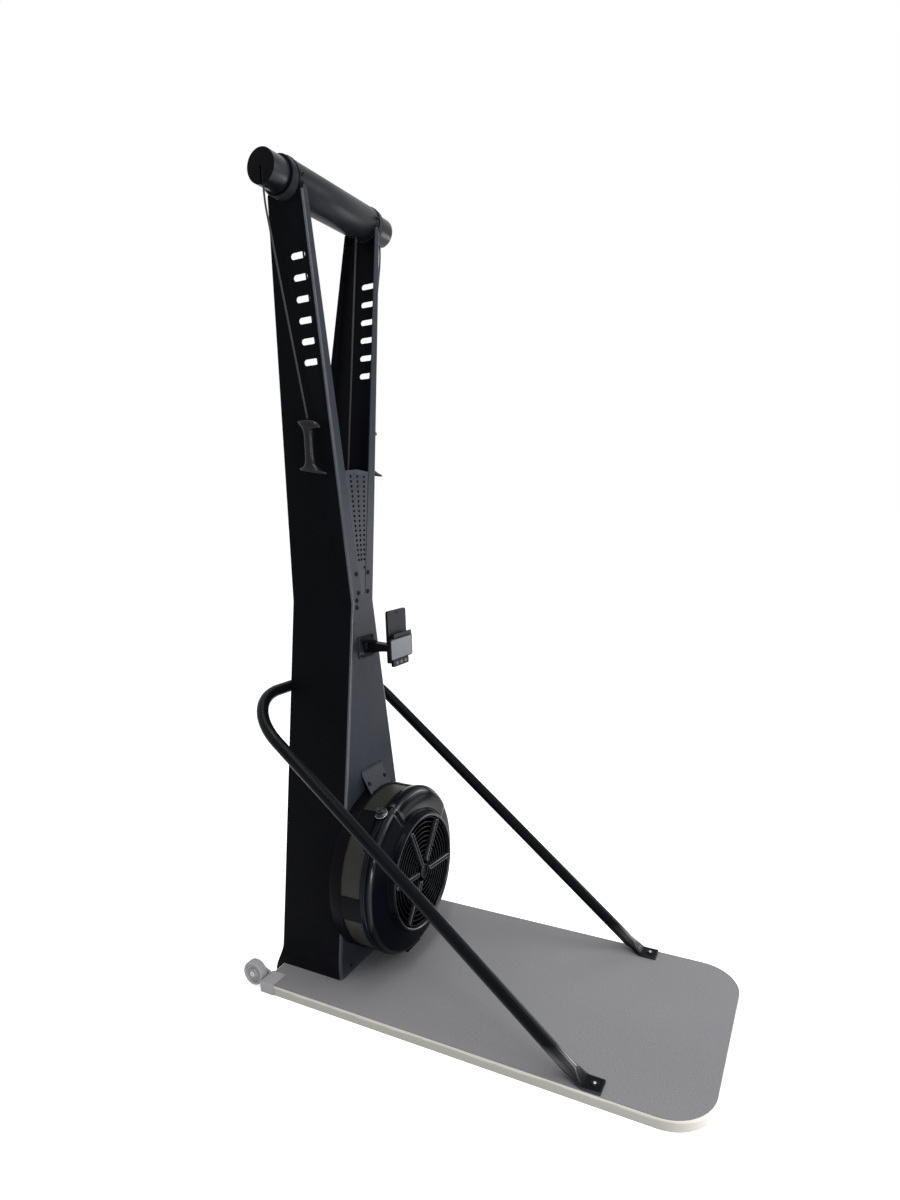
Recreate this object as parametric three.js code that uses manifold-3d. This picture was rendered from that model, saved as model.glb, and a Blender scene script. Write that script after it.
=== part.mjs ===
// A ski trainer: two pull cords run from a crossbar on a tall sheet-metal column, over pulleys
// and down to cord drums on the shaft of an air-braked flywheel fan that stands on the board.
// Millimetres. +X is the user's right, +Y points away from the user, +Z is up.
// The origin is the centre of the board's underside.

import * as THREE from 'three';
import { mergeVertices } from 'three/addons/utils/BufferGeometryUtils.js';
import Module from 'manifold-3d';

const wasm = await Module();
wasm.setup();

// Fits and facets
const seatGap = 0.3;
const cutOverrun = 4;
const mergeDistance = 0.001;
const arcSegments = 2;
const fineArcSegments = 4;
const bendSteps = 5;
const fineSides = 40;
const roundSides = 32;
const mediumSides = 24;
const smallSides = 16;
const pinSides = 12;
const cordSides = 8;

// Board
const boardWidth = 590;
const boardLength = 1180;
const boardCoreThickness = 27;
const topSheetThickness = 2;
const topSheetInset = 1;
const boardEdgeChamfer = 1.5;
const userCornerRadius = 110;
const rearCornerRadius = 12;
const boardRearOverhang = 190;

// Corner brackets and transport wheels
const bracketWall = 3;
const bracketReach = 42;
const bracketInboard = 50;
const bracketFloorGap = 2;
const wheelRadius = 33;
const wheelWidth = 24;
const wheelTreadRound = 3;
const wheelInset = 6.5;
const wheelClearance = 1.7;
const wheelRunningGap = 3.5;
const axleHeight = 38;
const axleRadius = 5;
const axleHeadRadius = 8;
const axleHeadThickness = 2;
const axleBossRadius = 13;
const cheekThickness = 6;

// Column
const sheetThickness = 3;
const footHalfWidth = 200;
const waistHalfWidth = 50;
const headHalfWidth = 181;
const waistHeight = 1053;
const waistForward = 5;
const crossbarHeight = 2126;
const footDepth = 195;
const waistDepth = 205;
const headDepth = 104;
const frontFlareOut = 6;
const frontFlareHeight = 68;
const tailFootHeight = 5;
const tailFlareOut = 23;
const tailFlareHeight = 80;
const flareSteps = 4;
const footPlateThickness = 5;
const armTipDrop = 31;
const notchHeadHalfWidth = 157;
const notchFootHalfWidth = 57;
const notchFootHeight = 1415;
const slitFootHalfWidth = 8.9;
const armSlotCount = 6;
const armSlotLowHeight = 1692;
const armSlotPitch = 51;
const armSlotWidth = 16;
const armSlotLength = 46;
const armSlotDepth = 36;
const armSlotEndSteps = 5;

// Vent panel
const ventArch = 5;
const ventSlit = 3;
const ventRows = 18;
const ventColumnShare = 0.59;
const ventTopMargin = 14.5;
const ventSpanShare = 0.67;
const ventSlotWidth = 4;
const ventSlotShare = 0.6;
const ventEndSteps = 2;

// Crossbar and pulley heads
const crossbarRadius = 50;
const crossbarWall = 3;
const crossbarOverhang = 20;
const headRadius = 42;
const headWall = 3;
const headLength = 57;
const headChamfer = 2;
const headNeckRadius = 40;
const headNeckLength = 4;
const headCollarLength = 10;
const headCordSlotWidth = 8;
const headCordSlotLength = 24;

// Pulleys, cords and rollers
const cordRadius = 2.5;
const cordFleet = 0.3;
const cordJoinDrop = 15;
const cordBendDrop = 81;
const cordBendRadius = 300;
const pulleyPinRadius = 4;
const pulleyWidth = 12;
const pulleyRim = 3;
const pulleyLip = 1;
const headPulleyPitch = 22;
const headPulleyInset = 29;
const headPulleyRise = 7;
const idlerPitch = 23;
const idlerInset = 39;
const cordHoleRadius = 8;
const rollerPitch = 12.5;
const rollerHeight = 1100;
const rollerPlateHalfWidth = 46;
const rollerPlateBottom = 1068;
const rollerPlateTop = 1146;

// Handles
const handleHeight = 145;
const handleTopDrop = 578.5;
const handleHalfSpread = 134;
const handleGripDepth = 24;
const handleGripWidth = 23;
const handleGripFoot = 44;
const handleGripTop = 106;
const handleCapWidth = 30;
const handleCapShoulder = 134;
const handleBeakReach = 38.5;
const handleBeakHeight = 120.5;
const handleHornReach = 32;
const handleHornHeight = 140.5;
const handleFootWidth = 32;
const handleToeReach = 50;
const handleHeelReach = 32;
const handleHeelRise = 16;
const handleFootEdge = 6;

// Flywheel shaft, cord drums and return bungees
const shaftHeight = 287;
const shaftRadius = 8.5;
const drumPitch = 22;
const drumFlangeRadius = 34;
const drumWidth = 30;
const drumFlange = 3;
const leftDrumDepth = 30;
const rightDrumDepth = 74;
const bungeeRadius = 4;
const anchorHeight = 900;
const anchorThickness = 4;
const anchorHalfWidth = 34;
const anchorReach = 90;
const anchorFlange = 26;
const anchorHoleRadius = 6;
const bearingRadius = 17;
const frontBearingLength = 10;
const rearBearingLength = 16;
const bearingBracketReach = 146;
const bearingBracketHalfWidth = 70;
const bearingBracketWall = 4;
const bearingBracketFoot = 20;
const bearingBracketHalfHeight = 37;
const shaftRearStub = 6;

// Fan
const fanGap = 8;
const fanRadius = 230;
const fanWall = 4;
const rearRingDepth = 34;
const frontRingDepth = 3;
const meshDepth = 62;
const meshThickness = 1.5;
const housingBoreRadius = 30;
const strutCount = 6;
const strutFirstAngle = 6;
const strutWidthAngle = 17;
const leverSlotFromAngle = 114;
const leverSlotToAngle = 146;
const leverSlotWidth = 10;
const leverSlotInset = 5.5;
const coverThickness = 3;
// The cover's outer line: radius, and depth in front of its back edge
const coverProfile = [
  [231, 0], [231, 17], [226, 26], [211, 33], [170, 42], [166, 44], [161, 59],
  [157.5, 63], [153, 61], [150, 53],
];
const coverFaceEnd = 5;
const coverBandRise = 2;
const coverBandFromAngle = 33;
const coverBandToAngle = 112;
const coverSeamToAngle = 116;
const coverSeamDepth = 1.5;
const grilleBack = 50.7;
const grilleRingCount = 9;
const grilleRingPitch = 13;
const grilleRingWidth = 3;
const grilleRingDepth = 5;
const grilleHubRadius = 20;
const grilleHubRise = 11;
const grilleHubDish = 3;
const grilleBarWidth = 10;
const grilleBarRise = 13;
const grilleBarAngles = [174, 54, -6, -126];
const grilleHubBarAngle = 114;
const grilleBarStandoff = 8;
const damperThickness = 3;
const damperClearance = 0.95;
const damperWidth = 56;
const damperRestAngle = 119.5;
const damperLeverWidth = 8;
const damperKnobRadius = 9;
const damperKnobLength = 17.5;
const damperKnobLift = 4.5;
const damperKnobForward = 10.5;
const knobCollar = 3;
const flywheelRadius = 200;
const flywheelThickness = 9;
const flywheelSetback = 10;
const impellerRadius = 200;
const impellerEyeRadius = 105;
const impellerPlate = 3;
const impellerDepth = 78;
const bladeCount = 18;
const bladeThickness = 2;
const bladeSweepAngle = 18;
const upperBracketWidth = 106;
const upperBracketTop = 575;
const upperBracketBend = 562;
const upperBracketFoot = 508;
const upperBracketReach = 36;
const lowerBracketWidth = 70;
const lowerBracketReach = 125;
const lowerBracketThickness = 4;
const lowerBracketFlange = 22;

// Monitor
const monitorHeight = 926;
const monitorPlateWidth = 76;
const monitorPlateHeight = 62;
const monitorPlateThickness = 4;
const monitorPivotDepth = 26;
const monitorEarWidth = 30;
const monitorEarThickness = 3;
const monitorArmHeight = 26;
const monitorArmReach = 90;
const monitorArmWidth = 26;
const monitorPinRadius = 4;
const tiltKnuckleRadius = 9;
const tiltLugThickness = 5;
const slabFrontDepth = 113;
const slabThickness = 8;
const slabWidth = 95;
const slabBottom = 890;
const slabTop = 1034;
const slabCorner = 7;
const slabCasingDepth = 7;
const ledgeHeight = 962;
const ledgeThickness = 4;
const ledgeReach = 16;
const ledgeLip = 10;
const displayWidth = 118;
const displayBottom = 899;
const displayTop = 961;
const displayThickness = 11;
const displayCorner = 6;
const displayChamfer = 2;
const screenMargin = 8;
const screenRecess = 2;
const buttonPadWidth = 80;
const buttonPadHeight = 19;
const buttonPadThickness = 8;
const buttonRadius = 5;
const buttonHeight = 4;
const buttonTravel = 1.5;
const buttonPitch = 22;

// Support hoop
const hoopRadius = 16;
const hoopHalfWidth = 270;
const hoopBendRadius = 148;
const hoopCrossHeight = 808;
const hoopFootFront = 761;
const hoopFootRear = 722;
const hoopTubeFoot = 685;
const hoopTubeFootHeight = 54;
const hoopFootWidth = 46;
const hoopFootThickness = 7;
const clampWidth = 42;
const clampThickness = 3;
const clampClearance = 0.6;
const clampFlange = 26;

// Heights and places that follow from the sizes above
const boardTop = boardCoreThickness + topSheetThickness;
const armTipHeight = crossbarHeight - armTipDrop;
const handleTopHeight = crossbarHeight - handleTopDrop;
const slitFootHeight = lineAt(
  slitFootHalfWidth, notchFootHalfWidth, notchFootHeight, notchHeadHalfWidth, crossbarHeight);
const ventPitch = (ventSpanShare * (notchFootHeight - slitFootHeight)) / (ventRows - 1);
const plateSkin = sheetThickness + seatGap;
const columnFrontY = boardLength / 2 - boardRearOverhang;
const crossbarY = headDepth / 2;
const sideHeadRadius = headDepth / 2;
const crossbarBore = crossbarRadius - crossbarWall;
const crossbarHalfLength = headHalfWidth + crossbarOverhang;
const headOuterX = crossbarHalfLength + headNeckLength + headLength;
const headPulleyX = headOuterX - headPulleyInset;
const pulleyHeight = crossbarHeight + headPulleyRise;
const cordTop = pulleyHeight + headPulleyPitch;
const cordExitX = headPulleyX + headPulleyPitch;
const cordJoinHeight = pulleyHeight - cordJoinDrop;
const idlerX = crossbarHalfLength - idlerInset;
const idlerHeight = cordTop - idlerPitch;
const rollerX = drumPitch + rollerPitch;
const frontRingY = -(fanGap + rearRingDepth + meshDepth);
const coverY = frontRingY - frontRingDepth - seatGap;

// Materials, one for each finish
const paint = { color: 0x17181b, roughness: 0.45, metalness: 0.55 };
const slatePaint = { color: 0x2b2e34, roughness: 0.42, metalness: 0.5 };
const moulding = { color: 0x0f1012, roughness: 0.35, metalness: 0 };
const glossMoulding = { color: 0x101217, roughness: 0.16, metalness: 0 };
const rubber = { color: 0x161616, roughness: 0.85, metalness: 0 };
const cordFinish = { color: 0x1b1b1c, roughness: 0.8, metalness: 0 };
const greySheet = { color: 0x7f8083, roughness: 0.9, metalness: 0 };
const paleEdge = { color: 0xdcdad2, roughness: 0.6, metalness: 0 };
const greyMoulding = { color: 0x8b8b8d, roughness: 0.6, metalness: 0 };
const steel = { color: 0x9a9ca0, roughness: 0.3, metalness: 1 };
const zinc = { color: 0x6f7276, roughness: 0.4, metalness: 1 };
const meshFinish = { color: 0x4b4a46, roughness: 0.6, metalness: 0.6 };
const screenGlass = { color: 0x8f989c, roughness: 0.15, metalness: 0 };

// Geometry helpers

function radians(angle) {
  return THREE.MathUtils.degToRad(angle);
}

function lineAt(place, placeA, valueA, placeB, valueB) {
  return valueA + ((valueB - valueA) * (place - placeA)) / (placeB - placeA);
}

function smooth(share) {
  const held = THREE.MathUtils.clamp(share, 0, 1);
  return held * held * (3 - 2 * held);
}

// Merges shared corners, drops collapsed triangles and turns the faces outwards.
function tidied(geometry) {
  const bare = geometry.clone();
  bare.deleteAttribute('normal');
  bare.deleteAttribute('uv');
  const merged = mergeVertices(bare, mergeDistance);
  const corners = merged.index.array;
  const places = merged.attributes.position;
  const kept = [];
  const [a, b, c] = [new THREE.Vector3(), new THREE.Vector3(), new THREE.Vector3()];
  let volume = 0;
  for (let i = 0; i < corners.length; i += 3) {
    const [p, q, r] = [corners[i], corners[i + 1], corners[i + 2]];
    if (p === q || q === r || r === p) continue;
    kept.push(p, q, r);
    volume += a.fromBufferAttribute(places, p).dot(
      b.fromBufferAttribute(places, q).cross(c.fromBufferAttribute(places, r)),
    );
  }
  merged.setIndex(volume < 0 ? kept.reverse() : kept);
  return merged;
}

function solidOf(geometry) {
  const merged = tidied(geometry);
  return new wasm.Manifold(new wasm.Mesh({
    numProp: 3,
    vertProperties: new Float32Array(merged.attributes.position.array),
    triVerts: new Uint32Array(merged.index.array),
  }));
}

function geometryOf(solid) {
  const mesh = solid.getMesh();
  const geometry = new THREE.BufferGeometry();
  geometry.setAttribute('position', new THREE.BufferAttribute(mesh.vertProperties, 3));
  geometry.setIndex(new THREE.BufferAttribute(mesh.triVerts, 1));
  return geometry;
}

function join(...parts) {
  return geometryOf(parts.map(solidOf).reduce((whole, part) => whole.add(part)));
}

function cut(body, ...tools) {
  return geometryOf(tools.map(solidOf).reduce((left, tool) => left.subtract(tool), solidOf(body)));
}

function common(body, other) {
  return geometryOf(solidOf(body).intersect(solidOf(other)));
}

function mirrored(geometry) {
  return geometry.clone().scale(-1, 1, 1);
}

function polygon(points) {
  return new THREE.Shape(points.map(([u, v]) => new THREE.Vector2(u, v)));
}

function roundedBox(width, height, radius, u = 0, v = 0) {
  const shape = new THREE.Shape();
  const [halfU, halfV] = [width / 2 - radius, height / 2 - radius];
  shape.absarc(u + halfU, v + halfV, radius, 0, Math.PI / 2);
  shape.absarc(u - halfU, v + halfV, radius, Math.PI / 2, Math.PI);
  shape.absarc(u - halfU, v - halfV, radius, Math.PI, 1.5 * Math.PI);
  shape.absarc(u + halfU, v - halfV, radius, 1.5 * Math.PI, 2 * Math.PI);
  return shape;
}

// A slot with round ends, along whichever of its two sizes is the longer.
function obround(width, height, u, v, endSteps) {
  const radius = Math.min(width, height) / 2;
  const [halfU, halfV] = [width / 2 - radius, height / 2 - radius];
  const start = width > height ? -Math.PI / 2 : 0;
  const end = (side) => stepsBetween(0, Math.PI, endSteps).map((turn) => {
    const angle = start + turn + (side < 0 ? Math.PI : 0);
    return [u + side * halfU + radius * Math.cos(angle), v + side * halfV + radius * Math.sin(angle)];
  });
  return polygon([...end(1), ...end(-1)]);
}

const alongX = new THREE.Matrix4().makeBasis(
  new THREE.Vector3(0, 1, 0), new THREE.Vector3(0, 0, 1), new THREE.Vector3(1, 0, 0));
const alongY = new THREE.Matrix4().makeBasis(
  new THREE.Vector3(1, 0, 0), new THREE.Vector3(0, 0, 1), new THREE.Vector3(0, -1, 0));

// Extrudes an outline between two places; a chamfer eases the edges of both end faces.
function extrusion(shape, from, to, chamfer = 0, segments = arcSegments) {
  const geometry = new THREE.ExtrudeGeometry(shape, {
    depth: to - from - 2 * chamfer,
    bevelEnabled: chamfer > 0,
    bevelThickness: chamfer,
    bevelSize: chamfer,
    bevelOffset: -chamfer,
    bevelSegments: 1,
    curveSegments: segments,
  });
  return geometry.translate(0, 0, chamfer);
}

function extrudeX(shape, from, to, chamfer, segments) {
  return extrusion(shape, from, to, chamfer, segments).applyMatrix4(alongX).translate(from, 0, 0);
}

function extrudeY(shape, from, to, chamfer, segments) {
  return extrusion(shape, from, to, chamfer, segments).applyMatrix4(alongY).translate(0, to, 0);
}

function extrudeZ(shape, from, to, chamfer, segments) {
  return extrusion(shape, from, to, chamfer, segments).translate(0, 0, from);
}

function block(fromX, toX, fromY, toY, fromZ, toZ) {
  const box = new THREE.BoxGeometry(toX - fromX, toY - fromY, toZ - fromZ);
  return box.translate((fromX + toX) / 2, (fromY + toY) / 2, (fromZ + toZ) / 2);
}

function rodX(radius, from, to, y, z, sides = pinSides) {
  const rod = new THREE.CylinderGeometry(radius, radius, to - from, sides).rotateZ(-Math.PI / 2);
  return rod.translate((from + to) / 2, y, z);
}

function rodY(radius, from, to, x, z, sides = pinSides) {
  const rod = new THREE.CylinderGeometry(radius, radius, to - from, sides);
  return rod.translate(x, (from + to) / 2, z);
}

function rodZ(radius, from, to, x, y, sides = pinSides) {
  const rod = new THREE.CylinderGeometry(radius, radius, to - from, sides).rotateX(Math.PI / 2);
  return rod.translate(x, y, (from + to) / 2);
}

// Turns a profile of [radius, place along the axis] about the Y axis.
// A profile that doesn't start on the axis is closed on itself.
function revolve(profile, sides) {
  const points = profile.map(([radius, place]) => new THREE.Vector2(radius, place));
  if (profile[0][0] > 0) points.push(points[0].clone());
  return new THREE.LatheGeometry(points, sides);
}

function revolveX(profile, sides, y, z) {
  return revolve(profile, sides).rotateZ(-Math.PI / 2).translate(0, y, z);
}

function revolveY(profile, sides, x, z) {
  return revolve(profile, sides).translate(x, 0, z);
}

// A wedge about the fan's axis, for cutting a turned piece to a span of angles.
// Angles are counted from +X towards +Z.
function fanWedge(fromAngle, toAngle, innerRadius, outerRadius, fromY, toY) {
  const shape = new THREE.Shape();
  shape.absarc(0, shaftHeight, outerRadius, radians(fromAngle), radians(toAngle), false);
  shape.absarc(0, shaftHeight, innerRadius, radians(toAngle), radians(fromAngle), true);
  return extrudeY(shape, fromY, toY);
}

// Moves each point of an open line sideways by a distance, to the left of its direction.
function offsetLine(points, distance) {
  return points.map((point, i) => {
    const sides = [];
    if (i > 0) sides.push([points[i - 1], point]);
    if (i < points.length - 1) sides.push([point, points[i + 1]]);
    const normals = sides.map(([from, to]) => (
      new THREE.Vector2(from[1] - to[1], to[0] - from[0]).normalize()
    ));
    const normal = normals.reduce((sum, one) => sum.add(one), new THREE.Vector2()).normalize();
    const stretch = distance / normal.dot(normals[normals.length - 1]);
    return [point[0] + normal.x * stretch, point[1] + normal.y * stretch];
  });
}

function band(points, near, far) {
  return [...offsetLine(points, near), ...offsetLine(points, far).reverse()];
}

// Joins rings of equally many points into one closed skin.
function loft(rings) {
  const count = rings[0].length;
  const places = rings.flat().flatMap((point) => point.toArray());
  const corners = [];
  for (let ring = 0; ring < rings.length - 1; ring += 1) {
    for (let i = 0; i < count; i += 1) {
      const [a, b] = [ring * count + i, ring * count + ((i + 1) % count)];
      corners.push(a, b, b + count, a, b + count, a + count);
    }
  }
  const last = (rings.length - 1) * count;
  for (let i = 1; i < count - 1; i += 1) {
    corners.push(0, i + 1, i, last, last + i, last + i + 1);
  }
  const geometry = new THREE.BufferGeometry();
  geometry.setAttribute('position', new THREE.Float32BufferAttribute(places, 3));
  geometry.setIndex(corners);
  return geometry;
}

// A route of straight runs joined by round bends, with one station at each end of a run
// and evenly turned stations along each bend.
class PipeRoute extends THREE.Curve {
  constructor(corners, bendRadii) {
    super();
    const last = corners.length - 1;
    const heading = (i) => corners[i + 1].clone().sub(corners[i]).normalize();
    this.stations = [{ place: corners[0], heading: heading(0) }];
    for (let i = 1; i < last; i += 1) {
      const [inward, outward] = [heading(i - 1), heading(i)];
      const turn = inward.angleTo(outward);
      const radius = bendRadii[i - 1];
      const side = outward.clone().addScaledVector(inward, -outward.dot(inward)).normalize();
      const centre = corners[i].clone()
        .addScaledVector(inward, -radius * Math.tan(turn / 2))
        .addScaledVector(side, radius);
      for (let step = 0; step <= bendSteps; step += 1) {
        const angle = (turn * step) / bendSteps;
        this.stations.push({
          place: centre.clone()
            .addScaledVector(side, -radius * Math.cos(angle))
            .addScaledVector(inward, radius * Math.sin(angle)),
          heading: inward.clone().multiplyScalar(Math.cos(angle))
            .addScaledVector(side, Math.sin(angle)),
        });
      }
    }
    this.stations.push({ place: corners[last], heading: heading(last - 1) });
  }

  stationAt(share) {
    return this.stations[Math.round(share * (this.stations.length - 1))];
  }

  getPointAt(share) {
    return this.stationAt(share).place.clone();
  }

  getTangentAt(share) {
    return this.stationAt(share).heading.clone();
  }
}

function sweep(route, radius, sides) {
  const corner = (i) => {
    const angle = (2 * Math.PI * i) / sides;
    return [radius * Math.cos(angle), radius * Math.sin(angle)];
  };
  return new THREE.ExtrudeGeometry(polygon(Array.from({ length: sides }, (_, i) => corner(i))), {
    steps: route.stations.length - 1,
    extrudePath: route,
    bevelEnabled: false,
  });
}

// Scene groups: the board and its wheels at the origin, the machine from the column's front face

const trainer = new THREE.Group();
const base = new THREE.Group();
const machine = new THREE.Group();
machine.position.set(0, columnFrontY, 0);
trainer.add(base, machine);

function place(name, geometry, finish, group = machine) {
  const shape = tidied(geometry);
  shape.computeVertexNormals();
  const mesh = new THREE.Mesh(shape, new THREE.MeshStandardMaterial(finish));
  mesh.name = name;
  group.add(mesh);
}

// A piece modelled on the right is placed there, and its mirror image on the left.
function placePair(name, geometry, finish, group = machine) {
  place(`${name}_right`, geometry, finish, group);
  place(`${name}_left`, mirrored(geometry), finish, group);
}

// The column's faces as functions of height

function halfWidthAt(height) {
  return height < waistHeight
    ? lineAt(height, boardTop, footHalfWidth, waistHeight, waistHalfWidth)
    : lineAt(height, waistHeight, waistHalfWidth, crossbarHeight, headHalfWidth);
}

function notchHalfWidthAt(height) {
  return lineAt(height, notchFootHeight, notchFootHalfWidth, crossbarHeight, notchHeadHalfWidth);
}

function frontFaceAt(height) {
  const forward = height < waistHeight
    ? waistForward
    : lineAt(height, waistHeight, waistForward, crossbarHeight, 0);
  const share = Math.max(0, 1 - (height - boardTop) / frontFlareHeight);
  return -forward - frontFlareOut * share * share;
}

function rearFaceAt(height) {
  const straight = height < waistHeight
    ? lineAt(height, boardTop, footDepth, waistHeight, waistDepth)
    : lineAt(height, waistHeight, waistDepth, crossbarHeight, headDepth);
  return straight + tailFlareOut * smooth(1 - (height - tailFootHeight) / tailFlareHeight);
}

function stepsBetween(from, to, count) {
  return Array.from({ length: count + 1 }, (_, i) => from + ((to - from) * i) / count);
}

const columnReach = headHalfWidth + footHalfWidth;
const columnTop = crossbarHeight + crossbarRadius;
const frontHeights = [
  ...stepsBetween(boardTop, boardTop + frontFlareHeight, flareSteps), waistHeight, columnTop];
const rearHeights = [
  ...stepsBetween(tailFootHeight, tailFootHeight + tailFlareHeight, 2 * flareSteps),
  waistHeight, columnTop];

// A bent plate seen edge-on: its face follows a function of height.
function bentPlate(faceAt, heights, thickness) {
  const face = heights.map((height) => [faceAt(height), height]);
  const back = heights.map((height) => [faceAt(height) + thickness, height]);
  return polygon([...face, ...back.reverse()]);
}

// The Y-shaped outline of the front and rear plates, with round arm tips and a V between them.
function armedOutline(bottom, vFoot, vArch) {
  const [outer, inner] = [halfWidthAt(armTipHeight), notchHalfWidthAt(armTipHeight)];
  const [centre, radius] = [(outer + inner) / 2, (outer - inner) / 2];
  const shape = new THREE.Shape();
  shape.moveTo(halfWidthAt(bottom), bottom);
  shape.lineTo(waistHalfWidth, waistHeight);
  shape.lineTo(outer, armTipHeight);
  shape.absarc(centre, armTipHeight, radius, 0, Math.PI, false);
  shape.lineTo(notchHalfWidthAt(vFoot), vFoot);
  shape.quadraticCurveTo(0, vFoot + 2 * vArch, -notchHalfWidthAt(vFoot), vFoot);
  shape.lineTo(-inner, armTipHeight);
  shape.absarc(-centre, armTipHeight, radius, 0, Math.PI, false);
  shape.lineTo(-waistHalfWidth, waistHeight);
  shape.lineTo(-halfWidthAt(bottom), bottom);
  return shape;
}

function makeFrontPlate() {
  const sheet = extrudeX(
    bentPlate(frontFaceAt, frontHeights, sheetThickness), -columnReach, columnReach);
  const outline = extrudeY(
    armedOutline(boardTop, slitFootHeight, 0), -columnReach, columnReach);
  const face = frontFaceAt(shaftHeight);
  const shaftHole = rodY(
    shaftRadius + seatGap, face - cutOverrun, face + sheetThickness + cutOverrun,
    0, shaftHeight, smallSides);
  return cut(common(sheet, outline), shaftHole);
}

function makeRearPlate() {
  const sheet = extrudeX(
    bentPlate(rearFaceAt, rearHeights, -sheetThickness), -columnReach, columnReach);
  const outline = extrudeY(
    armedOutline(tailFootHeight, notchFootHeight, ventArch), -columnReach, columnReach);
  return common(sheet, outline);
}

// The side plate is bent at the waist and ends in a round head that carries the crossbar.
function makeSidePlate() {
  const wall = bentPlate(
    (height) => halfWidthAt(height) - sheetThickness, [boardTop, waistHeight, columnTop + cutOverrun],
    sheetThickness);
  const sheet = extrudeY(wall, -columnReach, columnReach);
  const reach = sideHeadRadius - plateSkin;
  const drop = Math.sqrt(sideHeadRadius ** 2 - reach ** 2);
  const turn = Math.asin(drop / sideHeadRadius);
  const outline = new THREE.Shape();
  frontHeights.slice(0, -1).forEach((height, i) => {
    const point = [frontFaceAt(height) + plateSkin, height];
    if (i === 0) outline.moveTo(...point);
    else outline.lineTo(...point);
  });
  outline.absarc(crossbarY, crossbarHeight, sideHeadRadius, Math.PI + turn, -turn, true);
  const rearLine = [...rearHeights.slice(0, -1).filter((height) => height > boardTop),
    crossbarHeight - drop];
  [boardTop, ...rearLine].reverse().forEach(
    (height) => outline.lineTo(rearFaceAt(height) - plateSkin, height));
  const slots = stepsBetween(0, armSlotCount - 1, armSlotCount - 1).map((i) => (
    obround(armSlotLength, armSlotWidth, armSlotDepth, armSlotLowHeight + i * armSlotPitch,
      armSlotEndSteps)));
  outline.holes.push(...slots);
  const bore = rodX(crossbarRadius + seatGap, 0, columnReach, crossbarY, crossbarHeight, roundSides);
  return cut(common(sheet, extrudeX(outline, 0, columnReach, 0, 2 * fineArcSegments)), bore);
}

// The slotted panel fills the foot of the V: butted to the left arm, with an open slit on the right.
function makeVentPanel() {
  const [left, right] = [seatGap, ventSlit];
  const shape = new THREE.Shape();
  shape.moveTo(-notchHalfWidthAt(slitFootHeight) + left, slitFootHeight + seatGap);
  shape.lineTo(notchHalfWidthAt(slitFootHeight) - right, slitFootHeight + seatGap);
  shape.lineTo(notchFootHalfWidth - right, notchFootHeight);
  shape.quadraticCurveTo(0, notchFootHeight + 2 * ventArch, left - notchFootHalfWidth, notchFootHeight);
  for (let row = 0; row < ventRows; row += 1) {
    const height = notchFootHeight - ventTopMargin - row * ventPitch;
    const spread = notchHalfWidthAt(height) * ventColumnShare;
    [-spread, 0, spread].forEach((x) => shape.holes.push(
      obround(ventSlotWidth, ventPitch * ventSlotShare, x, height, ventEndSteps)));
  }
  const sheet = extrudeX(
    bentPlate(frontFaceAt, frontHeights, sheetThickness), -columnReach, columnReach);
  return common(sheet, extrudeY(shape, -columnReach, columnReach, 0, arcSegments));
}

// A flat strip that lies against the inside of the front plate
function stripBehindFront(halfWidth, bottom, top, thickness) {
  const strip = bentPlate((height) => frontFaceAt(height) + plateSkin, [bottom, top], thickness);
  return extrudeX(strip, -halfWidth, halfWidth);
}

function makeFootPlate() {
  const top = boardTop + footPlateThickness;
  const halfWidth = halfWidthAt(top) - sheetThickness - seatGap;
  const front = frontFaceAt(top) + plateSkin;
  return block(-halfWidth, halfWidth, front, boardRearOverhang, boardTop, top);
}

// Board

function makeBoardOutline(inset) {
  const [halfWidth, halfLength] = [boardWidth / 2 - inset, boardLength / 2 - inset];
  const [user, rear] = [userCornerRadius - inset, rearCornerRadius - inset];
  const shape = new THREE.Shape();
  shape.absarc(halfWidth - rear, halfLength - rear, rear, 0, Math.PI / 2);
  shape.absarc(rear - halfWidth, halfLength - rear, rear, Math.PI / 2, Math.PI);
  shape.absarc(user - halfWidth, user - halfLength, user, Math.PI, 1.5 * Math.PI);
  shape.absarc(halfWidth - user, user - halfLength, user, 1.5 * Math.PI, 2 * Math.PI);
  return shape;
}

place('base_board',
  extrudeZ(makeBoardOutline(0), 0, boardCoreThickness, boardEdgeChamfer, fineArcSegments),
  paleEdge, base);
place('board_top_sheet',
  extrudeZ(makeBoardOutline(topSheetInset), boardCoreThickness, boardTop, 0, fineArcSegments),
  greySheet, base);

// Corner brackets hug the board's rear corners and carry the transport wheels

const boardRear = boardLength / 2;
const boardSide = boardWidth / 2;
const wheelY = boardRear + seatGap + bracketWall + wheelClearance + wheelRadius;
const wheelOuterX = boardSide - wheelInset;
const wheelInnerX = wheelOuterX - wheelWidth;
const cheekX = wheelInnerX - wheelRunningGap;

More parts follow.
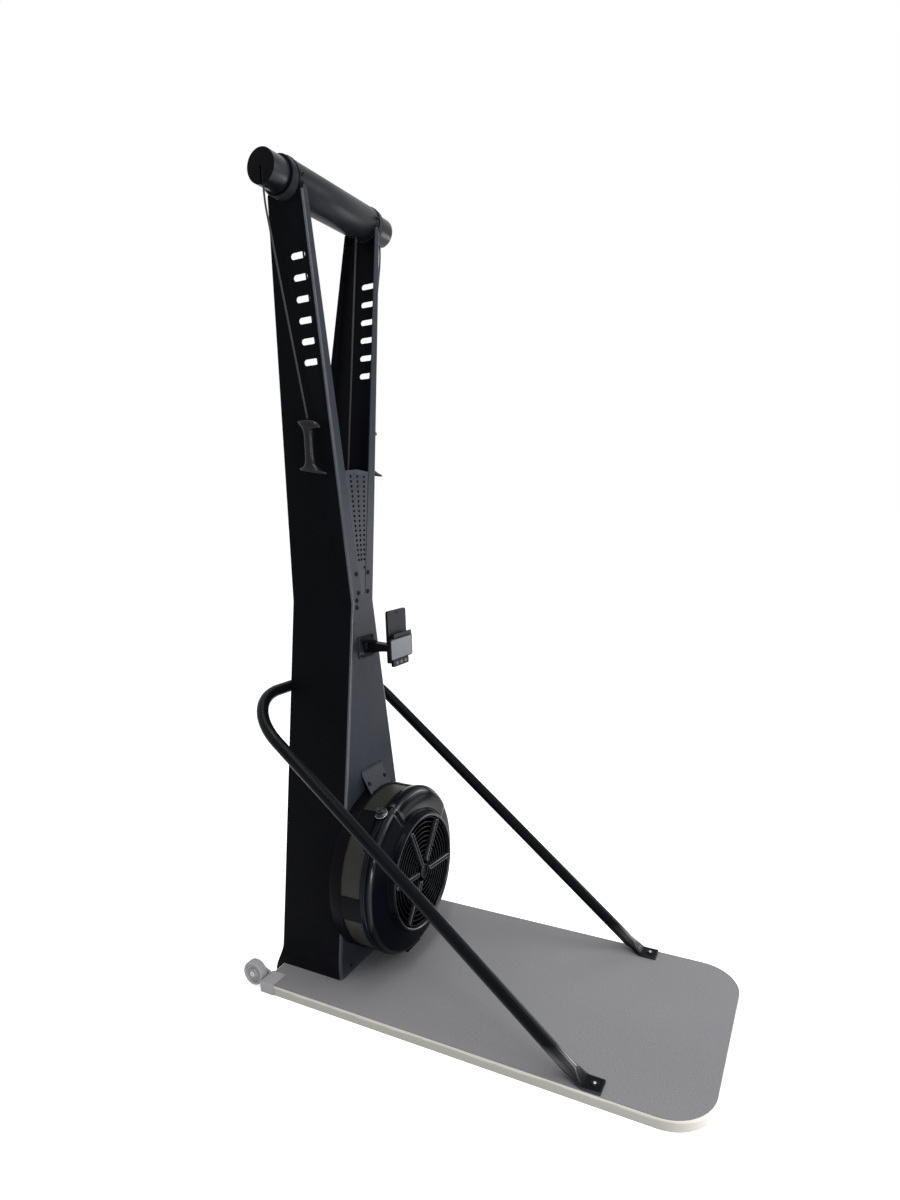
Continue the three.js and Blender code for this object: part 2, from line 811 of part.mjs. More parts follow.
function makeCornerBracket() {
  const bracketTop = boardTop + bracketWall;
  const [skinX, skinY] = [boardSide + seatGap, boardRear + seatGap];
  const [outX, outY] = [skinX + bracketWall, skinY + bracketWall];
  const [inX, frontY] = [boardSide - bracketInboard, boardRear - bracketReach];
  const side = block(skinX, outX, frontY, outY, bracketFloorGap, bracketTop);
  const rear = block(inX, outX, skinY, outY, bracketFloorGap, bracketTop);
  const cap = block(inX, outX, frontY, outY, boardTop, bracketTop);
  const cheek = new THREE.Shape();
  cheek.moveTo(skinY, bracketFloorGap);
  cheek.lineTo(outY + axleBossRadius, bracketFloorGap + bracketWall);
  cheek.absarc(wheelY, axleHeight, axleBossRadius, -Math.PI / 4, Math.PI / 2);
  cheek.lineTo(skinY, axleHeight);
  const bore = rodX(axleRadius + seatGap, 0, boardWidth, wheelY, axleHeight);
  return cut(join(side, rear, cap, extrudeX(cheek, cheekX - cheekThickness, cheekX)), bore);
}

function makeWheel() {
  const [bore, tread] = [axleRadius + seatGap, wheelRadius - wheelTreadRound];
  const profile = [
    [bore, wheelInnerX], [tread, wheelInnerX], [wheelRadius, wheelInnerX + wheelTreadRound],
    [wheelRadius, wheelOuterX - wheelTreadRound], [tread, wheelOuterX], [bore, wheelOuterX],
  ];
  return revolveX(profile, mediumSides, wheelY, axleHeight);
}

// A stub axle with a flat head that keeps the wheel on
function makeAxle() {
  const headX = wheelOuterX + seatGap;
  return revolveX([
    [0, cheekX - cheekThickness], [axleRadius, cheekX - cheekThickness], [axleRadius, headX],
    [axleHeadRadius, headX], [axleHeadRadius, headX + axleHeadThickness],
    [0, headX + axleHeadThickness],
  ], smallSides, wheelY, axleHeight);
}

placePair('corner_bracket', makeCornerBracket(), greyMoulding, base);
placePair('transport_wheel', makeWheel(), greyMoulding, base);
placePair('wheel_axle', makeAxle(), zinc, base);

// Column

const sidePlate = makeSidePlate();
place('column_front_plate', makeFrontPlate(), slatePaint);
place('column_rear_plate', makeRearPlate(), paint);
placePair('column_side', sidePlate, paint);
place('vent_panel', makeVentPanel(), slatePaint);
place('column_foot_plate', makeFootPlate(), paint);

// Cord paths. The drive cord leaves the head pulley, crosses to the idler in the crossbar, runs down
// the arm to a guide roller and straight on to its drum.

const handleTop = new THREE.Vector3(handleHalfSpread, crossbarY, handleTopHeight);

// The lean of the run that touches the idler and the guide roller on their inner sides.
const idlerToRoller = new THREE.Vector2(idlerX - rollerX, idlerHeight - rollerHeight);
const armRunLean = Math.acos((idlerPitch - rollerPitch) / idlerToRoller.length())
  - idlerToRoller.angle();
const armRunX = idlerX - idlerPitch * Math.cos(armRunLean);
const armRunZ = idlerHeight + idlerPitch * Math.sin(armRunLean);

function armRunXAt(height) {
  return armRunX + (height - armRunZ) * Math.tan(armRunLean);
}

function makeDriveCord(drumDepth) {
  const rollerCornerZ = armRunZ - (armRunX - drumPitch) / Math.tan(armRunLean);
  const corners = [
    new THREE.Vector3(cordExitX, crossbarY, cordJoinHeight + seatGap),
    new THREE.Vector3(cordExitX, crossbarY, cordTop),
    new THREE.Vector3(armRunXAt(cordTop), crossbarY, cordTop),
    new THREE.Vector3(drumPitch, drumDepth, rollerCornerZ),
    new THREE.Vector3(drumPitch, drumDepth, shaftHeight),
  ];
  return sweep(
    new PipeRoute(corners, [headPulleyPitch, idlerPitch, rollerPitch]), cordRadius, cordSides);
}

// The pull cord leaves the head straight down and bends over to its handle.
function makePullCord() {
  const corners = [
    handleTop.clone().setZ(handleTopHeight + seatGap),
    new THREE.Vector3(cordExitX, crossbarY, pulleyHeight - cordBendDrop),
    new THREE.Vector3(cordExitX, crossbarY, cordJoinHeight),
  ];
  return sweep(new PipeRoute(corners, [cordBendRadius]), cordRadius, cordSides);
}

// A pulley about the Y axis, grooved for the cord
function makePulley(pitchRadius, width, rim, depth, x, z) {
  const floor = pitchRadius - cordRadius - cordFleet;
  const outer = pitchRadius + rim;
  const bore = pulleyPinRadius + seatGap;
  const [half, slack] = [width / 2, cordRadius + cordFleet];
  const profile = [
    [bore, depth - half], [outer, depth - half], [floor, depth - slack],
    [floor, depth + slack], [outer, depth + half], [bore, depth + half],
  ];
  return revolveY(profile, smallSides, x, z);
}

// Crossbar: a tube with the idlers' pins welded across it and a hole under each for the cord

function makeCrossbar() {
  const tube = revolveX([
    [crossbarRadius, -crossbarHalfLength], [crossbarRadius, crossbarHalfLength],
    [crossbarBore, crossbarHalfLength], [crossbarBore, -crossbarHalfLength],
  ], mediumSides, crossbarY, crossbarHeight);
  const pinReach = (crossbarRadius + crossbarBore) / 2 - seatGap;
  const underside = crossbarHeight - crossbarRadius;
  const [pins, holes] = [[], []];
  [-1, 1].forEach((side) => {
    pins.push(rodY(
      pulleyPinRadius, crossbarY - pinReach, crossbarY + pinReach, side * idlerX, idlerHeight));
    holes.push(rodZ(
      cordHoleRadius, underside - cutOverrun, underside + 2 * crossbarWall,
      side * armRunXAt(underside), crossbarY));
  });
  return cut(join(tube, ...pins), ...holes);
}

// Pulley head: a moulded cup pressed into the crossbar's end, slotted for the pull cord
function makePulleyHead() {
  const cup = headRadius - headWall;
  const collar = crossbarBore - seatGap;
  const neckBore = headNeckRadius - headWall;
  const [collarX, neckX] = [crossbarHalfLength - headCollarLength, crossbarHalfLength];
  const bodyX = crossbarHalfLength + headNeckLength;
  const shell = revolveX([
    [0, headOuterX - headWall], [cup, headOuterX - headWall], [cup, bodyX + headWall],
    [neckBore, bodyX + headWall], [neckBore, collarX], [collar, collarX],
    [collar, neckX], [headNeckRadius, neckX + seatGap], [headNeckRadius, bodyX],
    [headRadius, bodyX], [headRadius, headOuterX - headChamfer],
    [headRadius - headChamfer, headOuterX], [0, headOuterX],
  ], mediumSides, crossbarY, crossbarHeight);
  const slot = block(
    headOuterX - headCordSlotLength, headOuterX + cutOverrun,
    crossbarY - headCordSlotWidth / 2, crossbarY + headCordSlotWidth / 2,
    crossbarHeight - headRadius - cutOverrun, crossbarHeight);
  const pinReach = (cup + headRadius) / 2 - seatGap;
  const pin = rodY(
    pulleyPinRadius, crossbarY - pinReach, crossbarY + pinReach, headPulleyX, pulleyHeight);
  return join(cut(shell, slot), pin);
}

place('crossbar_tube', makeCrossbar(), paint);
placePair('pulley_head', makePulleyHead(), moulding);
placePair('head_pulley',
  makePulley(headPulleyPitch, pulleyWidth, pulleyRim, crossbarY, headPulleyX, pulleyHeight), moulding);
placePair('idler_pulley',
  makePulley(idlerPitch, pulleyWidth, pulleyRim, crossbarY, idlerX, idlerHeight), moulding);
placePair('pull_cord', makePullCord(), cordFinish);

// Guide rollers turn on pins of one bracket behind the front plate

const rollerHalfWidth = pulleyWidth / 2;
const rollerPinEnd = rollerHalfWidth + pulleyLip;

function makeRollerBracket() {
  const plate = stripBehindFront(
    rollerPlateHalfWidth, rollerPlateBottom, rollerPlateTop, sheetThickness);
  const root = frontFaceAt(rollerHeight) + plateSkin + sheetThickness / 2;
  const pins = [[-1, leftDrumDepth], [1, rightDrumDepth]].map(([side, depth]) => rodY(
    pulleyPinRadius, root, depth + rollerPinEnd, side * rollerX, rollerHeight));
  return join(plate, ...pins);
}

place('roller_bracket', makeRollerBracket(), paint);
const leftRoller = makePulley(
  rollerPitch, pulleyWidth, pulleyRim, leftDrumDepth, rollerX, rollerHeight);
place('guide_roller_left', mirrored(leftRoller), moulding);
place('guide_roller_right', makePulley(
  rollerPitch, pulleyWidth, pulleyRim, rightDrumDepth, rollerX, rollerHeight), moulding);
place('drive_cord_left', mirrored(makeDriveCord(leftDrumDepth)), cordFinish);
place('drive_cord_right', makeDriveCord(rightDrumDepth), cordFinish);

// Handles: one moulding with a hooded cap, a slim grip and a flared foot whose toe points forward.
// The side view and the front view are extruded and the handle is what both have in common.

function makeHandle() {
  const gripDepth = handleGripDepth / 2;
  const heelTop = handleHeelRise + handleFootEdge;
  const side = new THREE.Shape();
  side.moveTo(-handleToeReach, 0);
  side.lineTo(handleHeelReach, handleHeelRise);
  side.lineTo(handleHeelReach, heelTop);
  side.quadraticCurveTo(gripDepth, heelTop, gripDepth, handleGripFoot);
  side.lineTo(gripDepth, handleGripTop);
  side.quadraticCurveTo(gripDepth, handleBeakHeight, handleHornReach, handleHornHeight);
  side.quadraticCurveTo(handleHornReach, handleHeight, gripDepth, handleHeight);
  side.lineTo(-gripDepth, handleHeight);
  side.quadraticCurveTo(-handleHornReach, handleHeight, -handleBeakReach, handleBeakHeight);
  side.quadraticCurveTo(-gripDepth, handleBeakHeight, -gripDepth, handleGripTop);
  side.lineTo(-gripDepth, handleGripFoot);
  side.quadraticCurveTo(-gripDepth, handleFootEdge, -handleToeReach, handleFootEdge);
  const front = new THREE.Shape();
  const [grip, cap, foot] = [handleGripWidth / 2, handleCapWidth / 2, handleFootWidth / 2];
  front.moveTo(-foot, -cutOverrun);
  front.lineTo(foot, -cutOverrun);
  front.lineTo(foot, handleFootEdge);
  front.quadraticCurveTo(grip, handleFootEdge, grip, handleGripFoot);
  front.lineTo(grip, handleGripTop);
  front.quadraticCurveTo(cap, handleGripTop, cap, handleCapShoulder);
  front.quadraticCurveTo(cap, handleHeight, 0, handleHeight);
  front.quadraticCurveTo(-cap, handleHeight, -cap, handleCapShoulder);
  front.quadraticCurveTo(-cap, handleGripTop, -grip, handleGripTop);
  front.lineTo(-grip, handleGripFoot);
  front.quadraticCurveTo(-grip, handleFootEdge, -foot, handleFootEdge);
  const reach = handleToeReach + handleHeelReach;
  const handle = common(
    extrudeX(side, -reach, reach, 0, fineArcSegments),
    extrudeY(front, -reach, reach, 0, fineArcSegments));
  return handle.translate(handleTop.x, handleTop.y, handleTop.z - handleHeight);
}

placePair('handle', makeHandle(), moulding);

// Flywheel shaft, its bearings, the cord drums and the return bungees

const bearingBracketBack = frontFaceAt(shaftHeight) + plateSkin;
const bracketWebY = bearingBracketBack + bearingBracketReach;
const rearBearingY = bracketWebY - (rearBearingLength - bearingBracketWall) / 2;
const shaftRearY = rearBearingY + rearBearingLength + shaftRearStub;
const impellerBackY = -(fanGap + fanWall + flywheelSetback + flywheelThickness + seatGap);
const shaftFrontY = impellerBackY - impellerPlate - fanWall;

function makeBearing(fromY, toY) {
  const bore = shaftRadius + seatGap;
  return revolveY([
    [bore, fromY], [bearingRadius, fromY], [bearingRadius, toY], [bore, toY],
  ], smallSides, 0, shaftHeight);
}

function makeBearingBracket() {
  const [back, wall, half] = [bearingBracketBack, bearingBracketWall, bearingBracketHalfWidth];
  const foot = half + bearingBracketFoot;
  const inner = half - wall;
  const outline = polygon([
    [-foot, back], [-inner, back], [-inner, bracketWebY], [inner, bracketWebY], [inner, back],
    [foot, back], [foot, back + wall], [half, back + wall], [half, bracketWebY + wall],
    [-half, bracketWebY + wall], [-half, back + wall], [-foot, back + wall],
  ]);
  const bracket = extrudeZ(
    outline, shaftHeight - bearingBracketHalfHeight, shaftHeight + bearingBracketHalfHeight);
  const seat = rodY(
    bearingRadius + seatGap, bracketWebY - cutOverrun, bracketWebY + wall + cutOverrun,
    0, shaftHeight, smallSides);
  return cut(bracket, seat);
}

function makeDrum(depth) {
  const [bore, core] = [shaftRadius + seatGap, drumPitch - cordRadius - seatGap];
  const half = drumWidth / 2;
  const inner = half - drumFlange;
  return revolveY([
    [bore, depth - half], [drumFlangeRadius, depth - half], [drumFlangeRadius, depth - inner],
    [core, depth - inner], [core, depth + inner], [drumFlangeRadius, depth + inner],
    [drumFlangeRadius, depth + half], [bore, depth + half],
  ], smallSides, 0, shaftHeight);
}

const bungeeX = drumPitch - cordRadius + bungeeRadius;

function makeBungee(depth) {
  return rodZ(bungeeRadius, shaftHeight, anchorHeight - seatGap, bungeeX, depth);
}

function makeAnchor() {
  const back = frontFaceAt(anchorHeight) + plateSkin;
  const shelf = block(
    -anchorHalfWidth, anchorHalfWidth, back, anchorReach, anchorHeight, anchorHeight + anchorThickness);
  const flange = block(
    -anchorHalfWidth, anchorHalfWidth, back, back + anchorThickness,
    anchorHeight, anchorHeight + anchorFlange);
  const holes = [[-drumPitch, leftDrumDepth], [drumPitch, rightDrumDepth]].map(([x, y]) => rodZ(
    anchorHoleRadius, anchorHeight - cutOverrun, anchorHeight + anchorThickness + cutOverrun, x, y));
  return cut(join(shelf, flange), ...holes);
}

place('flywheel_shaft',
  rodY(shaftRadius, shaftFrontY, shaftRearY, 0, shaftHeight, smallSides), steel);
place('shaft_bearing_front',
  makeBearing(bearingBracketBack, bearingBracketBack + frontBearingLength), steel);
place('shaft_bearing_rear', makeBearing(rearBearingY, rearBearingY + rearBearingLength), steel);
place('bearing_bracket', makeBearingBracket(), paint);
place('cord_drum_left', makeDrum(leftDrumDepth), moulding);
place('cord_drum_right', makeDrum(rightDrumDepth), moulding);
place('return_bungee_left', makeBungee(leftDrumDepth), rubber);
place('return_bungee_right', mirrored(makeBungee(rightDrumDepth)), rubber);
place('bungee_anchor', makeAnchor(), paint);

// Fan housing: a back disc, a rear ring and six struts that carry the front ring

const housingBackY = -fanGap;
const rearRingY = -(fanGap + rearRingDepth);
const ringInner = fanRadius - fanWall;
const meshOuter = ringInner - seatGap;
const leverSlotY = frontRingY + leverSlotInset;
const damperY = (rearRingY + frontRingY) / 2;

function makeLeverSlot() {
  return fanWedge(
    leverSlotFromAngle, leverSlotToAngle, meshOuter - 2 * cutOverrun, fanRadius + cutOverrun,
    leverSlotY - leverSlotWidth / 2, leverSlotY + leverSlotWidth / 2);
}

function makeRearHousing() {
  const drum = revolveY([
    [housingBoreRadius, housingBackY], [fanRadius, housingBackY], [fanRadius, rearRingY],
    [ringInner, rearRingY], [ringInner, housingBackY - fanWall],
    [housingBoreRadius, housingBackY - fanWall],
  ], fineSides, 0, shaftHeight);
  const ring = revolveY([
    [ringInner, frontRingY], [fanRadius, frontRingY], [fanRadius, frontRingY - frontRingDepth],
    [ringInner, frontRingY - frontRingDepth],
  ], fineSides, 0, shaftHeight);
  const strut = (centre) => fanWedge(
    centre - strutWidthAngle / 2, centre + strutWidthAngle / 2,
    ringInner + 2 * seatGap, fanRadius - 3 * seatGap,
    frontRingY - frontRingDepth / 2, rearRingY + fanWall);
  const struts = stepsBetween(0, strutCount - 1, strutCount - 1).map(
    (i) => strut(strutFirstAngle + (360 * i) / strutCount));
  return cut(join(drum, ring, ...struts), makeLeverSlot());
}

function makeMeshBand() {
  const [fromY, toY] = [frontRingY - frontRingDepth, rearRingY + fanWall];
  const sheet = revolveY([
    [meshOuter, fromY], [meshOuter, toY], [meshOuter - meshThickness, toY],
    [meshOuter - meshThickness, fromY],
  ], fineSides, 0, shaftHeight);
  return cut(sheet, makeLeverSlot());
}

// Fan cover: a thin moulding with a round shoulder, a flat face, a groove and a raised ring.
// One span of its face stands proud, with a seam beside it.

const coverFace = coverProfile.map(([radius, depth]) => [radius, coverY - depth]);
const coverLipRadius = coverFace[coverFace.length - 1][0];

// A skin over part of the cover's face, between two angles
function coverSpan(near, far, fromAngle, toAngle) {
  const skin = revolveY(
    band(coverFace.slice(0, coverFaceEnd), near, far), fineSides, 0, shaftHeight);
  const wedge = fanWedge(
    fromAngle, toAngle, coverLipRadius, fanRadius + 2 * cutOverrun,
    coverY - fanRadius, coverY - coverThickness);
  return common(skin, wedge);
}

function makeFrontCover() {
  const shell = revolveY(band(coverFace, 0, -coverThickness), fineSides, 0, shaftHeight);
  const raised = coverSpan(
    coverBandRise, -coverThickness / 2, coverBandFromAngle, coverBandToAngle);
  const seam = coverSpan(coverThickness, -coverSeamDepth, coverBandToAngle, coverSeamToAngle);
  return cut(join(shell, raised), seam);
}

// Grille: concentric rings tied by raised bars, with a dished hub
function makeGrille() {
  const backY = coverY - grilleBack;
  const seatRadius = coverLipRadius - seatGap;
  const ring = (inner, outer, sides) => revolveY([
    [inner, backY], [outer, backY], [outer, backY - grilleRingDepth],
    [inner, backY - grilleRingDepth],
  ], sides, 0, shaftHeight);
  const innermost = seatRadius - grilleRingPitch * grilleRingCount;
  const rings = stepsBetween(0, grilleRingCount - 1, grilleRingCount - 1).map((i) => {
    const outer = innermost + i * grilleRingPitch;
    return ring(outer - grilleRingWidth, outer, i < grilleRingCount / 2 ? smallSides : mediumSides);
  });
  const flange = ring(seatRadius - grilleRingWidth, seatRadius, fineSides);
  const hub = revolveY([
    [0, backY], [grilleHubRadius, backY], [grilleHubRadius, backY - grilleHubRise],
    [grilleHubRadius - grilleRingWidth, backY - grilleHubRise],
    [grilleHubRadius - 2 * grilleRingWidth, backY - grilleHubRise + grilleHubDish],
    [0, backY - grilleHubRise + grilleHubDish],
  ], smallSides, 0, shaftHeight);
  const bar = (angle, from) => {
    const to = seatRadius - grilleRingWidth / 2;
    const shape = roundedBox(
      to - from, grilleBarWidth, grilleBarWidth / 3, (to + from) / 2, 0);
    return extrudeY(shape, backY - grilleBarRise, backY, 0, 2)
      .rotateY(-radians(angle)).translate(0, 0, shaftHeight);
  };
  const bars = grilleBarAngles.map((angle) => bar(angle, grilleHubRadius + grilleBarStandoff));
  return join(flange, ...rings, hub, bar(grilleHubBarAngle, 0), ...bars);
}

// Damper: a shutter ring inside the mesh, with a lever through the slot and a knob on its end

const damperOuter = meshOuter - meshThickness - damperClearance;

function atDamperAngle(geometry) {
  return geometry.rotateY(-radians(damperRestAngle)).translate(0, leverSlotY, shaftHeight);
}

function makeDamperRing() {
  const [inner, half] = [damperOuter - damperThickness, damperWidth / 2];
  const shutter = revolveY([
    [inner, damperY - half], [damperOuter, damperY - half],
    [damperOuter, damperY + half], [inner, damperY + half],
  ], fineSides, 0, shaftHeight);
  const lever = atDamperAngle(rodX(
    damperLeverWidth / 2, damperOuter - damperThickness / 2, fanRadius + damperKnobLift - seatGap,
    0, 0));
  return join(shutter, lever);
}

function makeDamperKnob() {
  const foot = fanRadius + damperKnobLift;
  const top = foot + damperKnobLength;
  return atDamperAngle(revolveX([
    [0, foot], [damperKnobRadius + knobCollar, foot], [damperKnobRadius + knobCollar, foot + knobCollar],
    [damperKnobRadius, foot + 2 * knobCollar], [damperKnobRadius, top - knobCollar],
    [damperKnobRadius - knobCollar, top], [0, top],
  ], smallSides, 0, 0)).translate(0, -damperKnobForward, 0);
}

// Flywheel disc and the bladed impeller that turns with it

const flywheelBackY = -(fanGap + fanWall + flywheelSetback);

function makeFlywheelDisc() {
  const front = flywheelBackY - flywheelThickness;
  const bore = shaftRadius + seatGap;
  return revolveY([
    [bore, flywheelBackY], [flywheelRadius, flywheelBackY], [flywheelRadius, front], [bore, front],
  ], roundSides, 0, shaftHeight);
}

function makeImpeller() {
  const front = impellerBackY - impellerPlate;
  const plate = revolveY([
    [shaftRadius + seatGap, impellerBackY], [impellerRadius, impellerBackY],
    [impellerRadius, front], [shaftRadius + seatGap, front],
  ], roundSides, 0, shaftHeight);
  const [from, to] = [impellerEyeRadius, impellerRadius - bladeThickness];
  const blades = stepsBetween(0, bladeCount - 1, bladeCount - 1).map((i) => (
    block(-(to - from) / 2, (to - from) / 2, front - impellerDepth, impellerBackY - seatGap,
      -bladeThickness / 2, bladeThickness / 2)
      .rotateY(-radians(bladeSweepAngle))
      .translate((from + to) / 2, 0, 0)
      .rotateY(-radians((360 * i) / bladeCount))
      .translate(0, 0, shaftHeight)));
  return join(plate, ...blades);
}

// Sheet brackets above and below the fan

function makeUpperBracket() {
  const face = frontFaceAt(upperBracketTop) - seatGap;
  const outline = polygon([
    [face, upperBracketTop], [face - sheetThickness, upperBracketTop],
    [face - sheetThickness, upperBracketBend],
    [-upperBracketReach - sheetThickness, upperBracketFoot], [-upperBracketReach, upperBracketFoot],
    [face, upperBracketBend],
  ]);
  const half = upperBracketWidth / 2;
  const drum = rodY(
    fanRadius + 2 * seatGap, -fanRadius, fanRadius, 0, shaftHeight, fineSides);
  return cut(extrudeX(outline, -half, half), drum);
}

function makeLowerBracket() {
  const half = lowerBracketWidth / 2;
  const top = shaftHeight - fanRadius - seatGap;
  const bottom = top - lowerBracketThickness;
  const root = frontFaceAt(bottom) - seatGap;
  const outline = polygon([
    [-lowerBracketReach, bottom], [root, bottom],
    [frontFaceAt(bottom - lowerBracketFlange) - seatGap, bottom - lowerBracketFlange],
    [frontFaceAt(bottom - lowerBracketFlange) - seatGap - lowerBracketThickness,
      bottom - lowerBracketFlange],
    [root - lowerBracketThickness, bottom - lowerBracketThickness],
    [-lowerBracketReach, bottom - lowerBracketThickness],
  ]);
  return extrudeX(outline, -half, half);
}

place('fan_rear_housing', makeRearHousing(), moulding);
place('fan_mesh_band', makeMeshBand(), meshFinish);
place('fan_front_cover', makeFrontCover(), glossMoulding);
place('fan_grille', makeGrille(), glossMoulding);
place('damper_ring', makeDamperRing(), moulding);
place('damper_knob', makeDamperKnob(), moulding);
place('flywheel_disc', makeFlywheelDisc(), steel);
place('fan_impeller', makeImpeller(), moulding);
place('fan_upper_bracket', makeUpperBracket(), slatePaint);
place('fan_lower_bracket', makeLowerBracket(), paint);

// Monitor: a bracket plate with two ears, a swivelling arm and a console that tilts on its end

const armBottom = monitorHeight - monitorArmHeight / 2;
const armTop = monitorHeight + monitorArmHeight / 2;
const tiltY = -(monitorArmReach - tiltKnuckleRadius);
const slabBackY = slabThickness - slabFrontDepth;

function makeMonitorBracket() {
  const face = frontFaceAt(monitorHeight);
  const plate = extrudeY(
    roundedBox(monitorPlateWidth, monitorPlateHeight, slabCorner, 0, monitorHeight),
    face - monitorPlateThickness, face);
  const ear = roundedEar(face, -monitorPivotDepth);
  const [low, high] = [armBottom - seatGap, armTop + seatGap];
  const ears = [
    extrudeZ(ear, low - monitorEarThickness, low),
    extrudeZ(ear, high, high + monitorEarThickness),
  ];
  const bore = rodZ(
    monitorPinRadius + seatGap, low - 2 * cutOverrun, high + 2 * cutOverrun, 0, -monitorPivotDepth);
  return cut(join(plate, ...ears), bore);
}

function roundedEar(rootY, endY) {
  const half = monitorEarWidth / 2;
  const ear = new THREE.Shape();
  ear.moveTo(half, rootY - seatGap);
  ear.lineTo(-half, rootY - seatGap);
  ear.absarc(0, endY, half, Math.PI, 2 * Math.PI, false);
  return ear;
}

function makeMonitorArm() {
  const half = monitorArmWidth / 2;
  const outline = new THREE.Shape();
  outline.absarc(0, -monitorPivotDepth, half, 0, Math.PI, false);
  outline.lineTo(-half, tiltY);
  outline.lineTo(half, tiltY);
  const body = extrudeZ(outline, armBottom, armTop);
  const taper = extrudeX(polygon([
    [0, armBottom - cutOverrun], [0, armTop + cutOverrun],
    [-monitorPivotDepth - half, armTop + cutOverrun], [-monitorPivotDepth - half, armTop],
    [tiltY - tiltKnuckleRadius, monitorHeight + tiltKnuckleRadius],
    [tiltY - tiltKnuckleRadius, monitorHeight - tiltKnuckleRadius],
    [-monitorPivotDepth - half, armBottom], [-monitorPivotDepth - half, armBottom - cutOverrun],
  ]), -columnReach, columnReach);
  const knuckle = rodX(tiltKnuckleRadius, -half, half, tiltY, monitorHeight, smallSides);
  const pivot = rodZ(
    monitorPinRadius, armBottom - monitorEarThickness - seatGap, armTop + monitorEarThickness + seatGap,
    0, -monitorPivotDepth);
  const tiltReach = half + tiltLugThickness;
  const tilt = rodX(monitorPinRadius, -tiltReach, tiltReach, tiltY, monitorHeight);
  return join(common(body, taper), knuckle, pivot, tilt);
}

// The console's back: the casing that the display and the buttons sit in, the tall slab that a
// phone leans on, the ledge under the phone, and two lugs on the arm's pin
function makeConsoleBack() {
  const slabShape = roundedBox(
    slabWidth, slabTop - slabBottom, slabCorner, 0, (slabTop + slabBottom) / 2);
  const slab = extrudeY(slabShape, -slabFrontDepth + slabThickness - slabCasingDepth, slabBackY);
  const casing = extrudeY(
    roundedBox(slabWidth, ledgeHeight - slabBottom, slabCorner, 0, (ledgeHeight + slabBottom) / 2),
    -slabFrontDepth, slabBackY);
  const ledgeHalf = slabWidth / 2 - slabCorner / 4;
  const [ledgeY, lipY] = [-slabFrontDepth - ledgeReach, -slabFrontDepth - ledgeReach + ledgeThickness];
  const ledge = block(
    -ledgeHalf, ledgeHalf, ledgeY, slabBackY - seatGap, ledgeHeight, ledgeHeight + ledgeThickness);
  const lip = block(
    -ledgeHalf, ledgeHalf, ledgeY, lipY, ledgeHeight, ledgeHeight + ledgeLip);
  const half = monitorArmWidth / 2 + seatGap;
  const lugs = [-half - tiltLugThickness, half].map((x) => join(
    rodX(tiltKnuckleRadius, x, x + tiltLugThickness, tiltY, monitorHeight, smallSides),
    block(x, x + tiltLugThickness, slabBackY - seatGap, tiltY,
      monitorHeight - tiltKnuckleRadius, monitorHeight + tiltKnuckleRadius)));
  const bore = rodX(monitorPinRadius + seatGap, -slabWidth, slabWidth, tiltY, monitorHeight);
  return cut(join(slab, casing, ledge, lip, ...lugs), bore);
}

const displayBackY = -slabFrontDepth - seatGap;
const displayFrontY = displayBackY - displayThickness;
const displayCentre = (displayBottom + displayTop) / 2;

function makeConsoleHousing() {
  const height = displayTop - displayBottom;
  const body = extrudeY(
    roundedBox(displayWidth, height, displayCorner, 0, displayCentre),
    displayFrontY, displayBackY, displayChamfer, arcSegments / 2);
  const window = extrudeY(
    roundedBox(displayWidth - 2 * screenMargin, height - 2 * screenMargin, displayChamfer,
      0, displayCentre),
    displayFrontY - cutOverrun, displayFrontY + 2 * screenRecess, 0, 1);
  return cut(body, window);
}

function makeScreen() {
  const height = displayTop - displayBottom;
  const inset = 2 * screenMargin + 2 * seatGap;
  return extrudeY(
    roundedBox(displayWidth - inset, height - inset, displayChamfer, 0, displayCentre),
    displayFrontY + screenRecess / 2, displayFrontY + 2 * screenRecess - seatGap, 0, 1);
}

const padTop = displayBottom - seatGap;
const padCentre = padTop - buttonPadHeight / 2;
const padFrontY = displayBackY - buttonPadThickness;

function buttonX(i) {
  return (i - 1) * buttonPitch;
}

// The strip below the display is a keypad with a bore behind each button.
function makeButtonPad() {
  const strip = extrudeY(
    roundedBox(buttonPadWidth, buttonPadHeight, slabCorner / 2, 0, padCentre), padFrontY, displayBackY,
    0, 2);
  const bores = [0, 1, 2].map((i) => rodY(
    buttonRadius + seatGap, padFrontY - cutOverrun, padFrontY + buttonHeight, buttonX(i), padCentre));
  return cut(strip, ...bores);
}

place('monitor_bracket', makeMonitorBracket(), paint);
place('monitor_arm', makeMonitorArm(), moulding);
place('console_back', makeConsoleBack(), moulding);
place('console_housing', makeConsoleHousing(), moulding);
place('console_screen', makeScreen(), screenGlass);
place('console_keypad', makeButtonPad(), moulding);
[0, 1, 2].forEach((i) => place(`console_button_${i + 1}`, rodY(
  buttonRadius, padFrontY - buttonTravel, padFrontY + buttonHeight - buttonTravel - seatGap,
  buttonX(i), padCentre), greyMoulding));

// Support hoop: one bent tube behind the column, its two ends flattened into feet on the board

const hoopCrossY = rearFaceAt(hoopCrossHeight) + seatGap + hoopRadius;

function hoopRing(station, lift, halfAcross, halfUp, power) {
  const across = new THREE.Vector3().crossVectors(station.heading, lift).normalize();
  return Array.from({ length: pinSides }, (_, i) => {
    const angle = (2 * Math.PI * i) / pinSides;
    const [c, s] = [Math.cos(angle), Math.sin(angle)];
    return station.place.clone()
      .addScaledVector(across, halfAcross * Math.sign(c) * Math.abs(c) ** power)
      .addScaledVector(lift, halfUp * Math.sign(s) * Math.abs(s) ** power);
  });
}

